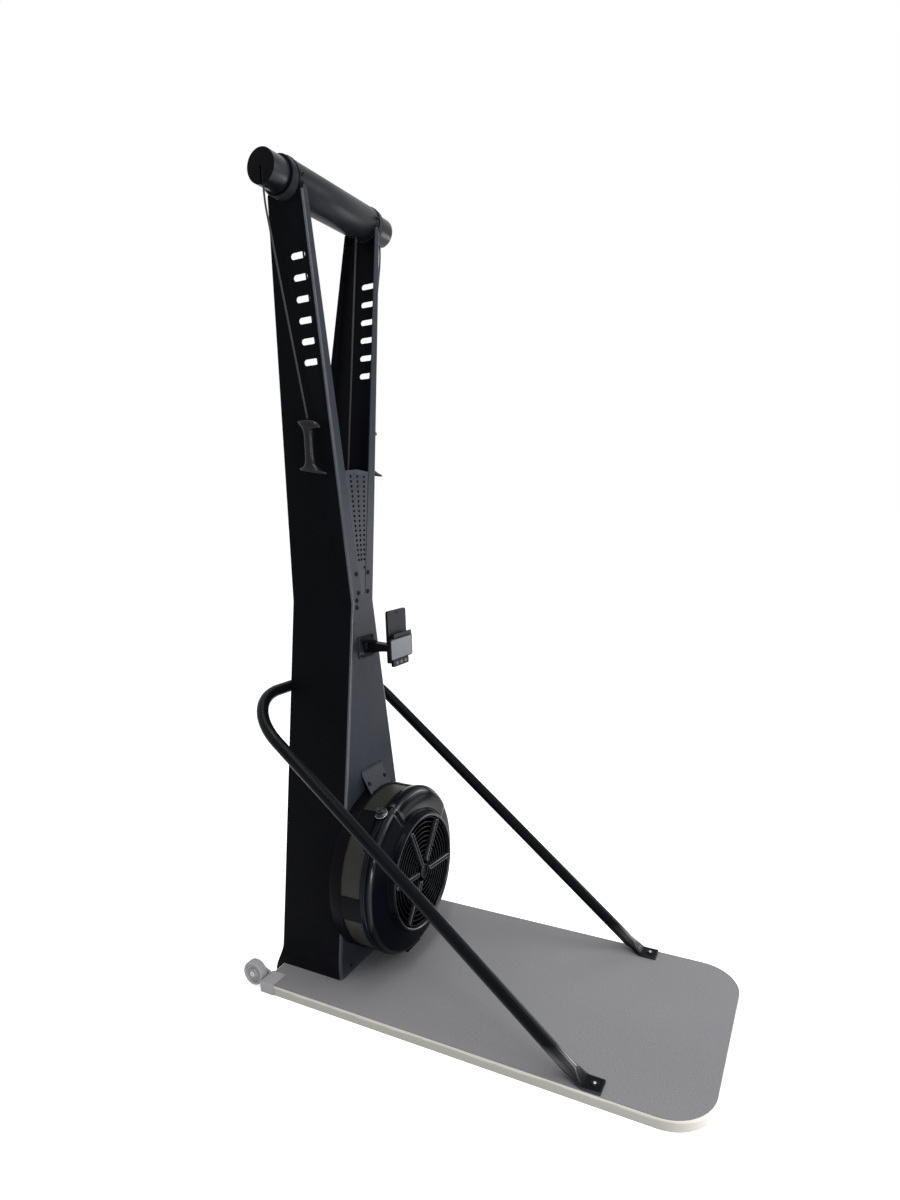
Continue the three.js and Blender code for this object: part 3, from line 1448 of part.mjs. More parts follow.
function makeHoop() {
  const ends = [-1, 1].map((side) => new THREE.Vector3(
    side * hoopHalfWidth, -hoopTubeFoot, hoopTubeFootHeight));
  const tops = [-1, 1].map((side) => new THREE.Vector3(
    side * hoopHalfWidth, hoopCrossY, hoopCrossHeight));
  const route = new PipeRoute([ends[0], tops[0], tops[1], ends[1]], [hoopBendRadius, hoopBendRadius]);
  const lean = Math.atan2(hoopCrossHeight - hoopTubeFootHeight, hoopCrossY + hoopTubeFoot);
  const planeLift = new THREE.Vector3(0, -Math.sin(lean), Math.cos(lean));
  const rings = route.stations.map((station) => (
    hoopRing(station, planeLift, hoopRadius, hoopRadius, 1)));
  const [halfFoot, halfPlate] = [hoopFootWidth / 2, hoopFootThickness / 2];
  const plateHeight = boardTop + halfPlate;
  const shortcut = (hoopTubeFoot + hoopFootRear) / 2;
  const foot = (side) => {
    const heading = new THREE.Vector3(0, -side, 0);
    const up = new THREE.Vector3(0, 0, 1);
    const at = (y, z) => ({ place: new THREE.Vector3(side * hoopHalfWidth, -y, z), heading });
    const blend = { place: at(shortcut, (hoopTubeFootHeight + plateHeight) / 2).place,
      heading: new THREE.Vector3(0, -side * Math.cos(lean), -side * Math.sin(lean)) };
    return [
      hoopRing(at(hoopFootFront, plateHeight), up, halfFoot, halfPlate, 0.35),
      hoopRing(at(hoopFootRear, plateHeight), up, halfFoot, halfPlate, 0.35),
      hoopRing(blend, planeLift, (halfFoot + hoopRadius) / 2, (halfPlate + hoopRadius) / 2, 0.7),
    ];
  };
  return loft([...foot(-1), ...rings, ...foot(1).reverse()]);
}

function makeHoopClamp() {
  const face = rearFaceAt(hoopCrossHeight + hoopRadius + clampFlange) + seatGap;
  const inner = hoopRadius + clampClearance;
  const outer = inner + clampThickness;
  const [low, high] = [hoopCrossHeight - outer - clampFlange, hoopCrossHeight + outer + clampFlange];
  const strap = new THREE.Shape();
  strap.moveTo(face, high);
  strap.lineTo(face, hoopCrossHeight + inner);
  strap.absarc(hoopCrossY, hoopCrossHeight, inner, Math.PI / 2, -Math.PI / 2, true);
  strap.lineTo(face, hoopCrossHeight - inner);
  strap.lineTo(face, low);
  strap.lineTo(face + clampThickness, low);
  strap.lineTo(face + clampThickness, hoopCrossHeight - outer);
  strap.absarc(hoopCrossY, hoopCrossHeight, outer, -Math.PI / 2, Math.PI / 2, false);
  strap.lineTo(face + clampThickness, hoopCrossHeight + outer);
  strap.lineTo(face + clampThickness, high);
  return extrudeX(strap, -clampWidth / 2, clampWidth / 2, 0, fineArcSegments + arcSegments);
}

place('support_hoop', makeHoop(), paint);
place('hoop_clamp', makeHoopClamp(), paint);

export default trainer;
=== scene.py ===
import math

import bmesh
import bpy
from mathutils import Matrix, Vector


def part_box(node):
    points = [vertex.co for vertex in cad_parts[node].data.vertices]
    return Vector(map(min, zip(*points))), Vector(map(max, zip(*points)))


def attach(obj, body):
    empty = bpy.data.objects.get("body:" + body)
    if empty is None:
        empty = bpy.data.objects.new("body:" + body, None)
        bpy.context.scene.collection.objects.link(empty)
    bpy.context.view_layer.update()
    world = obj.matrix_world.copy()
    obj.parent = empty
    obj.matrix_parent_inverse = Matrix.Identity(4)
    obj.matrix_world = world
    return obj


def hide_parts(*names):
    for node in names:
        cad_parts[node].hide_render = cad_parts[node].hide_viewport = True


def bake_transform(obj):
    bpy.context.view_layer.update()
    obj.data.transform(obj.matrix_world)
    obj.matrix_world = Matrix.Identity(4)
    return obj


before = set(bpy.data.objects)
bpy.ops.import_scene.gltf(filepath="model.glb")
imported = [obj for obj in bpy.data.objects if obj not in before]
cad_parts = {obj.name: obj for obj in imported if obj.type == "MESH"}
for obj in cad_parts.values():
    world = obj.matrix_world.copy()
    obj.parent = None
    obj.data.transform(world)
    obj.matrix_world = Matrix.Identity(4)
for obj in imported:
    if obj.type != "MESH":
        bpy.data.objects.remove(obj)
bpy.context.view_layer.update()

# Camera
# It stands where the photograph was taken from: to the user's left and in front, at chest height,
# tipped down a little and rolled slightly. The focal length is the photograph's, in its own pixels.
image_width = 900
focal_pixels = 745.19
camera_place = Vector((-1.7308, -0.7901, 1.3001))
azimuth, pitch, roll = (math.radians(angle) for angle in (-62.25, -6.87, -1.90))

camera_data = bpy.data.cameras.new("camera")
camera_data.sensor_fit = "HORIZONTAL"
camera_data.sensor_width = 36
camera_data.lens = camera_data.sensor_width * focal_pixels / image_width
camera = bpy.data.objects.new("camera", camera_data)
bpy.context.scene.collection.objects.link(camera)
camera.matrix_world = (
    Matrix.Translation(camera_place)
    @ Matrix.Rotation(azimuth, 4, "Z")
    @ Matrix.Rotation(math.pi / 2 + pitch, 4, "X")
    @ Matrix.Rotation(roll, 4, "Z")
)
bpy.context.scene.camera = camera

# Board
# A laminated board with a pale edge band and rounded user corners. A grey anti-slip sheet with a
# fine pebbled grain is bonded to its top, a millimetre inside the edge.
board_width, board_length = 0.590, 1.180
board_core_top, board_top = 0.027, 0.029
user_corner, rear_corner = 0.110, 0.012
sheet_inset = 0.001


def mesh_object(name, bm):
    """Makes an object of a finished mesh, with its faces turned outwards and shaded smooth."""
    bmesh.ops.recalc_face_normals(bm, faces=bm.faces)
    for face in bm.faces:
        face.smooth = True
    mesh = bpy.data.meshes.new(name)
    bm.to_mesh(mesh)
    bm.free()
    obj = bpy.data.objects.new(name, mesh)
    bpy.context.scene.collection.objects.link(obj)
    return obj


def prism(name, outline, depth):
    """Extrudes a flat outline of points by a vector."""
    bm = bmesh.new()
    near = bm.faces.new([bm.verts.new(point) for point in outline])
    swept = bmesh.ops.extrude_face_region(bm, geom=[near], use_keep_orig=True)
    moved = [part for part in swept["geom"] if isinstance(part, bmesh.types.BMVert)]
    bmesh.ops.translate(bm, vec=Vector(depth), verts=moved)
    return mesh_object(name, bm)


def soften(obj, width, segments=3, angle=30, flat_faces=False):
    """Rounds the sharp edges of a piece; flat_faces keeps large plates from shading as curved."""
    bevel = obj.modifiers.new("round_edges", "BEVEL")
    bevel.width = width
    bevel.segments = segments
    bevel.limit_method = "ANGLE"
    bevel.angle_limit = math.radians(angle)
    bevel.harden_normals = not flat_faces
    if flat_faces:
        weighted = obj.modifiers.new("flat_faces", "WEIGHTED_NORMAL")
        weighted.mode = "FACE_AREA"
        weighted.weight = 100
    return obj


def fit(obj, material, body, slot, *nodes):
    """Gives a piece its finish and its body, and hides the CAD nodes that it stands for; slot is
    not used.
    """
    obj.data.materials.clear()
    obj.data.materials.append(material)
    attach(obj, body)
    if nodes:
        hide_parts(*nodes)
    return obj


def corner_arc(centre, radius, from_angle, to_angle, steps):
    """Points of an arc, with angles in degrees."""
    points = []
    for step in range(steps + 1):
        angle = math.radians(from_angle + (to_angle - from_angle) * step / steps)
        points.append((centre[0] + radius * math.cos(angle), centre[1] + radius * math.sin(angle)))
    return points


def rounded_outline(half_width, low, high, low_corner, high_corner, low_steps=8):
    """Flat points of a rectangle with rounded corners, from its right side over the top."""
    corners = [(hand, high - high_corner, high_corner, 8) for hand in (1, -1)]
    corners += [(hand, low + low_corner, low_corner, low_steps) for hand in (-1, 1)]
    return [point for turn, (hand, height, radius, steps) in enumerate(corners)
            for point in corner_arc((hand * (half_width - radius), height), radius,
                                    90 * turn, 90 * turn + 90, steps)]


def board_outline(inset, height):
    """The board's outline at a height, drawn in by an inset."""
    half_length = board_length / 2 - inset
    return [(x, y, height) for x, y in rounded_outline(
        board_width / 2 - inset, -half_length, half_length, user_corner - inset,
        rear_corner - inset, 32)]


def feed(tree, node, inputs):
    """Feeds a node's inputs, by name or number, with numbers, colours or other nodes' outputs."""
    for label, value in inputs.items():
        if isinstance(value, bpy.types.NodeSocket):
            tree.links.new(value, node.inputs[label])
        else:
            number = isinstance(value, (int, float))
            node.inputs[label].default_value = value if number else (*value, 1)
    return node


def add_node(tree, kind, inputs=None, **settings):
    """Adds a shader node, with its settings and what its inputs are fed."""
    node = tree.nodes.new(f"ShaderNode{kind}")
    for setting, value in settings.items():
        setattr(node, setting, value)
    return feed(tree, node, inputs or {})


def math_node(tree, operation, first, second=0, clamp=False):
    """What a Math node makes of one or two numbers or other nodes' outputs."""
    return add_node(tree, "Math", {0: first, 1: second}, operation=operation,
                    use_clamp=clamp).outputs[0]


def ramp(tree, first, second, fade):
    """How far the first value is over the second, as a share of the fade, from 0 to 1."""
    return math_node(tree, "DIVIDE", math_node(tree, "SUBTRACT", first, second), fade, clamp=True)


def noise_node(tree, scale, detail, vector):
    """Soft noise with a scale and a number of finer layers."""
    inputs = {"Scale": scale, "Detail": detail, "Vector": vector}
    return add_node(tree, "TexNoise", inputs).outputs["Fac"]


def mix_colours(tree, share, first, second):
    """The first colour with a share of the second in it."""
    return add_node(tree, "Mix", {0: share, 6: first, 7: second}, data_type="RGBA").outputs[2]


def place_on(tree):
    """The place on the object, which is its place in the frame."""
    return add_node(tree, "TexCoord").outputs["Object"]


def axes_of(tree, vector):
    """The X, Y and Z of a place or a direction."""
    return add_node(tree, "SeparateXYZ", {0: vector}).outputs


def effect_group(name, inputs, outputs):
    """A shader node group; a socket with Colour in its name is a colour, any other a number."""
    group = bpy.data.node_groups.new(name, "ShaderNodeTree")
    for way, labels in (("INPUT", inputs), ("OUTPUT", outputs)):
        for label in labels:
            kind = "NodeSocketColor" if "Colour" in label else "NodeSocketFloat"
            socket = group.interface.new_socket(label, in_out=way, socket_type=kind)
            if way == "INPUT":
                socket.default_value = inputs[label]
    return group, group.nodes.new("NodeGroupInput").outputs, group.nodes.new("NodeGroupOutput")


def build_grain():
    """Fine grain over slow patches of tone: a colour between two, a roughness and a height."""
    group, given, result = effect_group("grain", {
        "Colour": (0.1, 0.1, 0.1, 1), "Second Colour": (0.2, 0.2, 0.2, 1), "Grain Scale": 1500.0,
        "Patch Scale": 9.0, "Grain Share": 0.5, "Roughness": 0.5, "Roughness Spread": 0.1,
    }, ("Colour", "Roughness", "Height"))
    place = place_on(group)
    fine = noise_node(group, given["Grain Scale"], 2, place)
    patch = noise_node(group, given["Patch Scale"], 3, place)
    grainy = math_node(group, "MULTIPLY", fine, given["Grain Share"])
    rest = math_node(group, "SUBTRACT", 1, given["Grain Share"])
    mask = math_node(group, "ADD", grainy, math_node(group, "MULTIPLY", patch, rest), clamp=True)
    spread = math_node(group, "MULTIPLY", math_node(group, "SUBTRACT", patch, 0.5),
                       given["Roughness Spread"])
    feed(group, result, {
        "Colour": mix_colours(group, mask, given["Colour"], given["Second Colour"]),
        "Roughness": math_node(group, "ADD", given["Roughness"], spread, clamp=True),
        "Height": fine,
    })
    return group


def build_convex_edges():
    """The convex edges, whole and as a mask broken up by noise."""
    group, given, result = effect_group(
        "convex_edges", {"Low": 0.53, "Width": 0.08, "Break Scale": 60.0}, ("Mask", "Edge"))
    point = add_node(group, "NewGeometry").outputs["Pointiness"]
    noise = noise_node(group, given["Break Scale"], 4, place_on(group))
    raised = ramp(group, point, given["Low"], given["Width"])
    feed(group, result, {"Mask": math_node(group, "MULTIPLY", raised, noise), "Edge": raised})
    return group


def build_dust():
    """A mask of fine dust that settles on faces that look up."""
    group, given, result = effect_group("dust", {"Amount": 0.1, "Speck Scale": 260.0}, ("Mask",))
    normal = add_node(group, "NewGeometry").outputs["Normal"]
    specks = noise_node(group, given["Speck Scale"], 5, place_on(group))
    upward = math_node(group, "MAXIMUM", axes_of(group, normal)["Z"])
    held = math_node(group, "MULTIPLY", upward, specks)
    feed(group, result, {"Mask": math_node(group, "MULTIPLY", held, given["Amount"], clamp=True)})
    return group


grain_group, convex_edge_group, dust_group = build_grain(), build_convex_edges(), build_dust()
dust_colour = (0.16, 0.155, 0.15)
# Edges this convex or more shine, fully so past the width
shiny_edge = {"Low": 0.512, "Width": 0.03}


def finish_nodes(material):
    """A material's node tree and its shader."""
    material.use_nodes = True
    return material.node_tree, material.node_tree.nodes["Principled BSDF"]


def surface(name, colour, second, roughness, grain_scale=1500.0, grain_share=0.5, patch_scale=9.0,
            roughness_spread=0.1, bump=0.00002, metallic=0.0, specular=0.5, edge_wear_and_highlight=None, dust=0.0,
            edge_shine=0.0, coat_roughness=0.12):
    """A finish: two close tones with grain and its bump, lighter edges (wear, and on some finishes
    a painted highlight), shiny edges, a little dust.
    """
    material = bpy.data.materials.new(name)
    tree, shader = finish_nodes(material)
    grain = add_node(tree, "Group", node_tree=grain_group)
    feed(tree, grain, {
        "Colour": colour, "Second Colour": second, "Grain Scale": grain_scale,
        "Grain Share": grain_share, "Patch Scale": patch_scale, "Roughness": roughness,
        "Roughness Spread": roughness_spread,
    })
    tone = grain.outputs["Colour"]
    if edge_wear_and_highlight:
        edge_wear_and_highlight_mask = add_node(tree, "Group", node_tree=convex_edge_group).outputs["Mask"]
        tone = mix_colours(tree, edge_wear_and_highlight_mask, tone, edge_wear_and_highlight)
    if dust:
        settled = add_node(tree, "Group", {"Amount": dust}, node_tree=dust_group).outputs["Mask"]
        tone = mix_colours(tree, settled, tone, dust_colour)
    if edge_shine:
        rim = add_node(tree, "Group", shiny_edge, node_tree=convex_edge_group).outputs["Edge"]
        feed(tree, shader, {"Coat Weight": math_node(tree, "MULTIPLY", rim, edge_shine)})
    relief = add_node(tree, "Bump", {"Distance": bump, "Height": grain.outputs["Height"]})
    feed(tree, shader, {
        "Metallic": metallic, "Specular IOR Level": specular, "Coat Roughness": coat_roughness,
        "Base Color": tone, "Roughness": grain.outputs["Roughness"],
        "Normal": relief.outputs["Normal"],
    })
    return material


edge_band = surface("pale_edge_band", (0.63, 0.61, 0.555), (0.77, 0.745, 0.69), 0.5,
                    grain_scale=420, grain_share=0.3, patch_scale=5, bump=0.00003)
anti_slip = surface("grey_anti_slip_sheet", (0.128, 0.128, 0.132), (0.258, 0.258, 0.267), 0.85,
                    grain_scale=240, grain_share=0.62, patch_scale=2.2, bump=0.0006, specular=0.2)
# The painted shade on the band's long sides: the height that it reaches, its fade and waver, its
# least share
side_shade_line, side_shade_fade, side_shade_waver, side_shade_least = 0.030, 0.005, 0.010, 0.35
side_shade_colour = (0.36, 0.35, 0.32)


def paint_side_shade(material):
    """Paints shade on the band's long sides, greyer below their upper edge, in a wavering line."""
    tree, shader = finish_nodes(material)
    tone = shader.inputs["Base Color"].links[0].from_socket
    place = place_on(tree)
    waver = math_node(tree, "MULTIPLY", noise_node(tree, 14, 3, place), side_shade_waver)
    height = math_node(tree, "ADD", axes_of(tree, place)["Z"], waver)
    share = math_node(tree, "MAXIMUM", ramp(tree, side_shade_line, height, side_shade_fade), side_shade_least)
    facing = axes_of(tree, add_node(tree, "NewGeometry").outputs["Normal"])
    side_shade_share = math_node(tree, "MULTIPLY", share, math_node(tree, "POWER", facing["X"], 2))
    feed(tree, shader, {"Base Color": mix_colours(tree, side_shade_share, tone, side_shade_colour)})


paint_side_shade(edge_band)
board = prism("board_core", board_outline(0, 0), (0, 0, board_core_top))
fit(soften(board, 0.002, 4), edge_band, "frame", "pale_board", "base_board")
sheet = prism("board_sheet", board_outline(sheet_inset, board_core_top),
              (0, 0, board_top - board_core_top))
fit(soften(sheet, 0.0007), anti_slip, "frame", "grey_sheet", "board_top_sheet")

# Corner brackets and transport wheels
# Grey mouldings hug the rear corners and carry a small wheel each on a stub axle. The wheels hang
# just clear of the floor until the machine is tipped back.
hands = {"left": -1, "right": 1}
wheel_axle_x, wheel_axle_y, wheel_axle_z = 0.2765, 0.628, 0.038
wheel_radius, wheel_half = 0.033, 0.012
hub_radius, hub_half, web_half = 0.0125, 0.0115, 0.006
rim_radius = 0.026
axle_radius, axle_bore, axle_end, axle_head = 0.005, 0.0053, 0.0215, 0.0123
axle_head_radius, axle_drive = 0.008, 0.0028

turn_frames = {
    "X": (Vector((0, 1, 0)), Vector((0, 0, 1)), Vector((1, 0, 0))),
    "Y": (Vector((1, 0, 0)), Vector((0, 0, 1)), Vector((0, 1, 0))),
    "Z": (Vector((1, 0, 0)), Vector((0, 1, 0)), Vector((0, 0, 1))),
}


def skin(bm, rings, capped=False):
    """Joins each ring of vertices to the next; a ring of one vertex makes a tip."""
    for lower, upper in zip(rings, rings[1:]):
        sides = max(len(lower), len(upper))
        for i in range(sides):
            j = (i + 1) % sides
            corners = [lower[i % len(lower)], lower[j % len(lower)],
                       upper[j % len(upper)], upper[i % len(upper)]]
            bm.faces.new(list(dict.fromkeys(corners)))
    if capped:
        bm.faces.new(rings[0])
        bm.faces.new(rings[-1])


def turn_into(bm, outline, frame_axes, origin, angles, lift=None):
    """Turns an outline of (radius, place along the axis) about an axis, into a mesh."""
    side, up, along = frame_axes
    rings = []
    for index, (radius, place) in enumerate(outline):
        ring = []
        for angle in angles[:1 if radius == 0 else len(angles)]:
            more_radius, more_place = lift(angle, index) if lift else (0, 0)
            spoke = side * math.cos(angle) + up * math.sin(angle)
            ring.append(bm.verts.new(
                origin + along * (place + more_place) + spoke * (radius + more_radius)))
        rings.append(ring)
    skin(bm, rings + rings[:1] if outline[0][0] > 0 else rings)


def even_angles(sides):
    return [2 * math.pi * i / sides for i in range(sides)]


def turned(name, outline, axis, origin, sides=64):
    """A piece turned about one of the frame's axes."""
    bm = bmesh.new()
    turn_into(bm, outline, turn_frames[axis], Vector(origin), even_angles(sides))
    return mesh_object(name, bm)


def dressed(node, material, slot, width, segments=2, body="frame", shift=None):
    """A piece with a CAD node's shape, its flat faces whole and its edges rounded.

    shift moves a vertex or leaves it, where the real sheet departs from the plain solid.
    """
    bm = bmesh.new()
    bm.from_mesh(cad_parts[node].data)
    bmesh.ops.remove_doubles(bm, verts=bm.verts, dist=1e-5)
    flatness, sharp_angle = (0.5, 50) if shift else (1, 30)
    if shift:
        for vertex in bm.verts:
            vertex.co = shift(vertex.co)
    bmesh.ops.dissolve_limit(bm, angle_limit=math.radians(flatness), verts=bm.verts,
                             edges=bm.edges)
    shape = soften(mesh_object(f"{node}_shape", bm), width, segments, sharp_angle, True)
    return fit(shape, material, body, slot, node)


grey_shell = surface("grey_moulding", (0.27, 0.27, 0.278), (0.34, 0.34, 0.35), 0.5,
                     grain_scale=900, bump=0.00005, specular=0.3, dust=0.1)
zinc_plate = surface("zinc_plating", (0.30, 0.31, 0.33), (0.40, 0.41, 0.43), 0.32,
                     grain_scale=2400, metallic=1.0, edge_wear_and_highlight=(0.5, 0.5, 0.5))


def wheel_outline():
    """Half of a wheel's section: hub, recessed web, rim and a tread with two grooves."""
    groove = wheel_radius - 0.0015
    half = [
        (axle_bore, hub_half), (hub_radius - 0.001, hub_half), (hub_radius, hub_half - 0.001),
        (hub_radius, web_half), (rim_radius, web_half), (rim_radius, wheel_half - 0.001),
        (rim_radius + 0.001, wheel_half), (wheel_radius - 0.003, wheel_half),
        (wheel_radius - 0.001, wheel_half - 0.001), (wheel_radius, wheel_half - 0.003),
        (wheel_radius, 0.0055), (groove, 0.005), (groove, 0.0035), (wheel_radius, 0.003),
    ]
    return half + [(radius, -place) for radius, place in reversed(half)]


# The axle, from its plain end to its flat head with a round drive
axle_outline = [
    (0, -axle_end), (axle_radius, -axle_end), (axle_radius, axle_head),
    (axle_head_radius, axle_head), (axle_head_radius, axle_head + 0.001),
    (axle_head_radius - 0.002, axle_head + 0.002), (axle_drive, axle_head + 0.002),
    (axle_drive, axle_head + 0.0008), (0, axle_head + 0.0008),
]
for side, hand in hands.items():
    centre = (hand * wheel_axle_x, wheel_axle_y, wheel_axle_z)
    dressed(f"corner_bracket_{side}", grey_shell, "grey_moulding", 0.0012, 3)
    wheel = turned(f"wheel_{side}", wheel_outline(), "X", centre, 72)
    fit(wheel, grey_shell, f"wheel_{side}", "grey_moulding", f"transport_wheel_{side}")
    axle = turned(f"axle_{side}", [(radius, hand * place) for radius, place in axle_outline],
                  "X", centre, 32)
    fit(axle, zinc_plate, "frame", "zinc", f"wheel_axle_{side}")

# Column
# A tall box of bent steel sheet: a forked front plate whose long edges are folded round to the
# side plates, a rear plate, and a slotted panel let into the foot of the fork. All powder-coated.
column_front = 0.400
foot_half, waist_half, head_half = 0.200, 0.050, 0.181
waist_height, crossbar_height = 1.053, 2.126
waist_forward = 0.005
foot_flare, foot_flare_height = 0.006, 0.068
arm_tip_height = crossbar_height - 0.031
notch_foot_height, notch_foot_half, notch_head_half = 1.415, 0.057, 0.157
slit_foot_height = 1.073
bend_radius, sheet_thickness = 0.007, 0.003
plate_skin = sheet_thickness + 0.0003


def between(place, place_a, value_a, place_b, value_b):
    """The value at a place, on a straight line through two others."""
    return value_a + (value_b - value_a) * (place - place_a) / (place_b - place_a)


def half_width_at(height):
    """Half the column's width, which narrows to the waist."""
    if height < waist_height:
        return between(height, board_top, foot_half, waist_height, waist_half)
    return between(height, waist_height, waist_half, crossbar_height, head_half)


def notch_half_at(height):
    """Half the width of the gap between the arms."""
    return between(height, notch_foot_height, notch_foot_half, crossbar_height, notch_head_half)


def front_face_at(height):
    """How far back the front plate's outer face lies."""
    forward = waist_forward
    if height > waist_height:
        forward = between(height, waist_height, waist_forward, crossbar_height, 0)
    share = max(0, 1 - (height - board_top) / foot_flare_height)
    return column_front - forward - foot_flare * share * share


black_coat = surface("black_powder_coat", (0.0016, 0.0018, 0.0026), (0.0036, 0.0040, 0.0052),
                     0.45, grain_scale=2200, bump=0.00003, specular=0.02,
                     edge_wear_and_highlight=(0.02, 0.02, 0.023), dust=0.01)
# The slate coat is a lighter copy of the black coat: painted light for faces that the front lamps
# light.
slate_painted_light_coat = surface("slate_powder_coat_painted_light", (0.013, 0.015, 0.021), (0.020, 0.023, 0.031), 0.36,
                     grain_scale=2200, patch_scale=3, bump=0.00003, specular=0.05,
                     edge_wear_and_highlight=(0.06, 0.065, 0.08), dust=0.02)
# The fold strip takes a still lighter copy of the slate coat, with lighter edges: a painted
# highlight along the bend.
fold_highlight_coat = surface("slate_painted_highlight_on_fold", (0.024, 0.027, 0.036), (0.036, 0.041, 0.052), 0.26,
                    grain_scale=2200, patch_scale=3, bump=0.00003, specular=0.14,
                    edge_wear_and_highlight=(0.12, 0.125, 0.14), edge_shine=0.1, coat_roughness=0.25)
screw_black = surface("blackened_screws", (0.0015, 0.0016, 0.002), (0.004, 0.004, 0.005), 0.30,
                      grain_scale=2500, specular=0.03, edge_shine=0.12)


def polish_span(material, low, high, fade, share):
    """Adds a gloss between two heights, fading in from each, to a finish with shiny edges."""
    tree, shader = finish_nodes(material)
    edge = shader.inputs["Coat Weight"].links[0].from_socket
    height = axes_of(tree, place_on(tree))["Z"]
    span = math_node(tree, "MULTIPLY", ramp(tree, height, low, fade),
                     ramp(tree, high, height, fade))
    gloss = math_node(tree, "MAXIMUM", edge, math_node(tree, "MULTIPLY", span, share))
    feed(tree, shader, {"Coat Weight": gloss})


polish_span(fold_highlight_coat, low=0.20, high=1.30, fade=0.25, share=0.6)


def narrow_front(point):
    """Brings the outer edge of the front plate in by the fold's radius."""
    reach = abs(point.x)
    sign = 1 if point.x > 0 else -1
    outer, inner = half_width_at(arm_tip_height), notch_half_at(arm_tip_height)
    centre = (outer + inner) / 2
    if point.z > arm_tip_height - 0.0005:
        if reach > centre:
            share = 1 - bend_radius / (outer - centre)
            return Vector((sign * (centre + (reach - centre) * share), point.y, point.z))
        return point
    if abs(reach - half_width_at(point.z)) < 0.0006:
        return Vector((sign * (reach - bend_radius), point.y, point.z))
    return point


def shorten_side(point):
    """Takes the front edge of a side plate back by the fold's radius, below the round head."""
    edge = front_face_at(point.z) + plate_skin
    if point.z < crossbar_height - 0.030 and abs(point.y - edge) < 0.0008:
        return Vector((point.x, front_face_at(point.z) + bend_radius, point.z))
    return point


def folded_edge(name, hand):
    """The folded corner strip between the front plate and a side plate."""
    heights = [board_top + foot_flare_height * i / 8 for i in range(9)]
    heights += [waist_height - 0.010, waist_height, waist_height + 0.010, arm_tip_height]
    bm = bmesh.new()
    rings = []
    for height in heights:
        centre = (half_width_at(height) - bend_radius, front_face_at(height) + bend_radius)
        section = corner_arc(centre, bend_radius, 0, -90, 6)
        section += corner_arc(centre, bend_radius - sheet_thickness, -90, 0, 6)
        rings.append([bm.verts.new((hand * x, y, height)) for x, y in section])
    skin(bm, rings, capped=True)
    return soften(mesh_object(name, bm), 0.0002, 1, 50)


def screws(name, places, out, radius, body="frame", material=screw_black):
    """Button-head screws with a round socket, on a face that looks along out."""
    out = Vector(out).normalized()
    side = out.orthogonal().normalized()
    height = radius * 0.55
    outline = [(0, -0.0004), (radius, -0.0004)]
    outline += [(across * radius, up * height) for across, up in (
        (1, 0.2), (0.86, 0.62), (0.62, 0.92), (0.48, 1), (0.42, 1), (0.40, 0.35), (0, 0.30))]
    bm = bmesh.new()
    for place in places:
        turn_into(bm, outline, (side, out.cross(side), out), Vector(place), even_angles(20))
    return fit(mesh_object(name, bm), material, body, "zinc")


def front_screws(name, places, radius, out=(0, -1, 0)):
    """Screws on the front plate, each placed across and up."""
    screws(name, [(x, front_face_at(z), z) for x, z in places], out, radius)


# The front plate takes the slate coat, painted light on its lit face.
dressed("column_front_plate", slate_painted_light_coat, "slate_paint", 0.0004, shift=narrow_front)
for side, hand in hands.items():
    dressed(f"column_side_{side}", black_coat, "black_paint", 0.0005, shift=shorten_side)
    fit(folded_edge(f"column_fold_{side}", hand), fold_highlight_coat, "frame", "slate_paint")
dressed("column_rear_plate", black_coat, "black_paint", 0.0006)

vent_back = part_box("vent_panel")[1].y
vent_sheet = 0.0008
vent_rows, vent_column_share, vent_stretch = 18, 0.59, 2.1
vent_slot_reach = 0.0021
vent_first_row = notch_foot_height - 0.0145
vent_pitch = 0.67 * (notch_foot_height - slit_foot_height) / (vent_rows - 1)


def thin_sheet(point):
    """Brings the panel's back forward to a thin sheet, and draws its slots out sideways."""
    x, y, z = point
    if y > vent_back - sheet_thickness / 2:
        y += vent_sheet - sheet_thickness
    row = round((vent_first_row - z) / vent_pitch)
    row_height = vent_first_row - row * vent_pitch
    if 0 <= row < vent_rows and abs(z - row_height) < vent_pitch / 2:
        spread = notch_half_at(row_height) * vent_column_share
        column = min((-spread, 0, spread), key=lambda centre: abs(x - centre))
        if abs(x - column) < vent_slot_reach:
            x = column + (x - column) * vent_stretch
    return Vector((x, y, z))


dressed("vent_panel", slate_painted_light_coat, "slate_paint", 0.0002, 1, shift=thin_sheet)
dressed("column_foot_plate", black_coat, "black_paint", 0.0006)
front_screws("roller_bracket_screws", [(-0.029, 1.133), (0.029, 1.133), (-0.023, 1.080),
                                       (0.023, 1.080), (-0.033, 1.060), (-0.034, 1.040)], 0.0066)
front_screws("panel_catch", [(0.012, 1.148)], 0.0036)
front_screws("foot_screws", [(-0.150, 0.047), (0.150, 0.047)], 0.005, (0, -1, -0.1))

# Crossbar
# A painted steel tube through the round heads of the side plates, held by two screws at each end.
# Each drive cord leaves it by a hole in its underside.
crossbar_axis_y = 0.452
crossbar_radius, crossbar_wall, crossbar_half = 0.050, 0.003, 0.201
crossbar_screw_x = 0.167
cord_hole_x, cord_hole_radius = 0.1334, 0.008

tube_coat = surface("crossbar_powder_coat", (0.006, 0.007, 0.009), (0.011, 0.012, 0.015), 0.34,
                    grain_scale=2200, bump=0.00003, specular=0.08, edge_wear_and_highlight=(0.03, 0.03, 0.034),
                    dust=0.03)
crossbar_origin = Vector((0, crossbar_axis_y, crossbar_height))
inner_radius = crossbar_radius - crossbar_wall


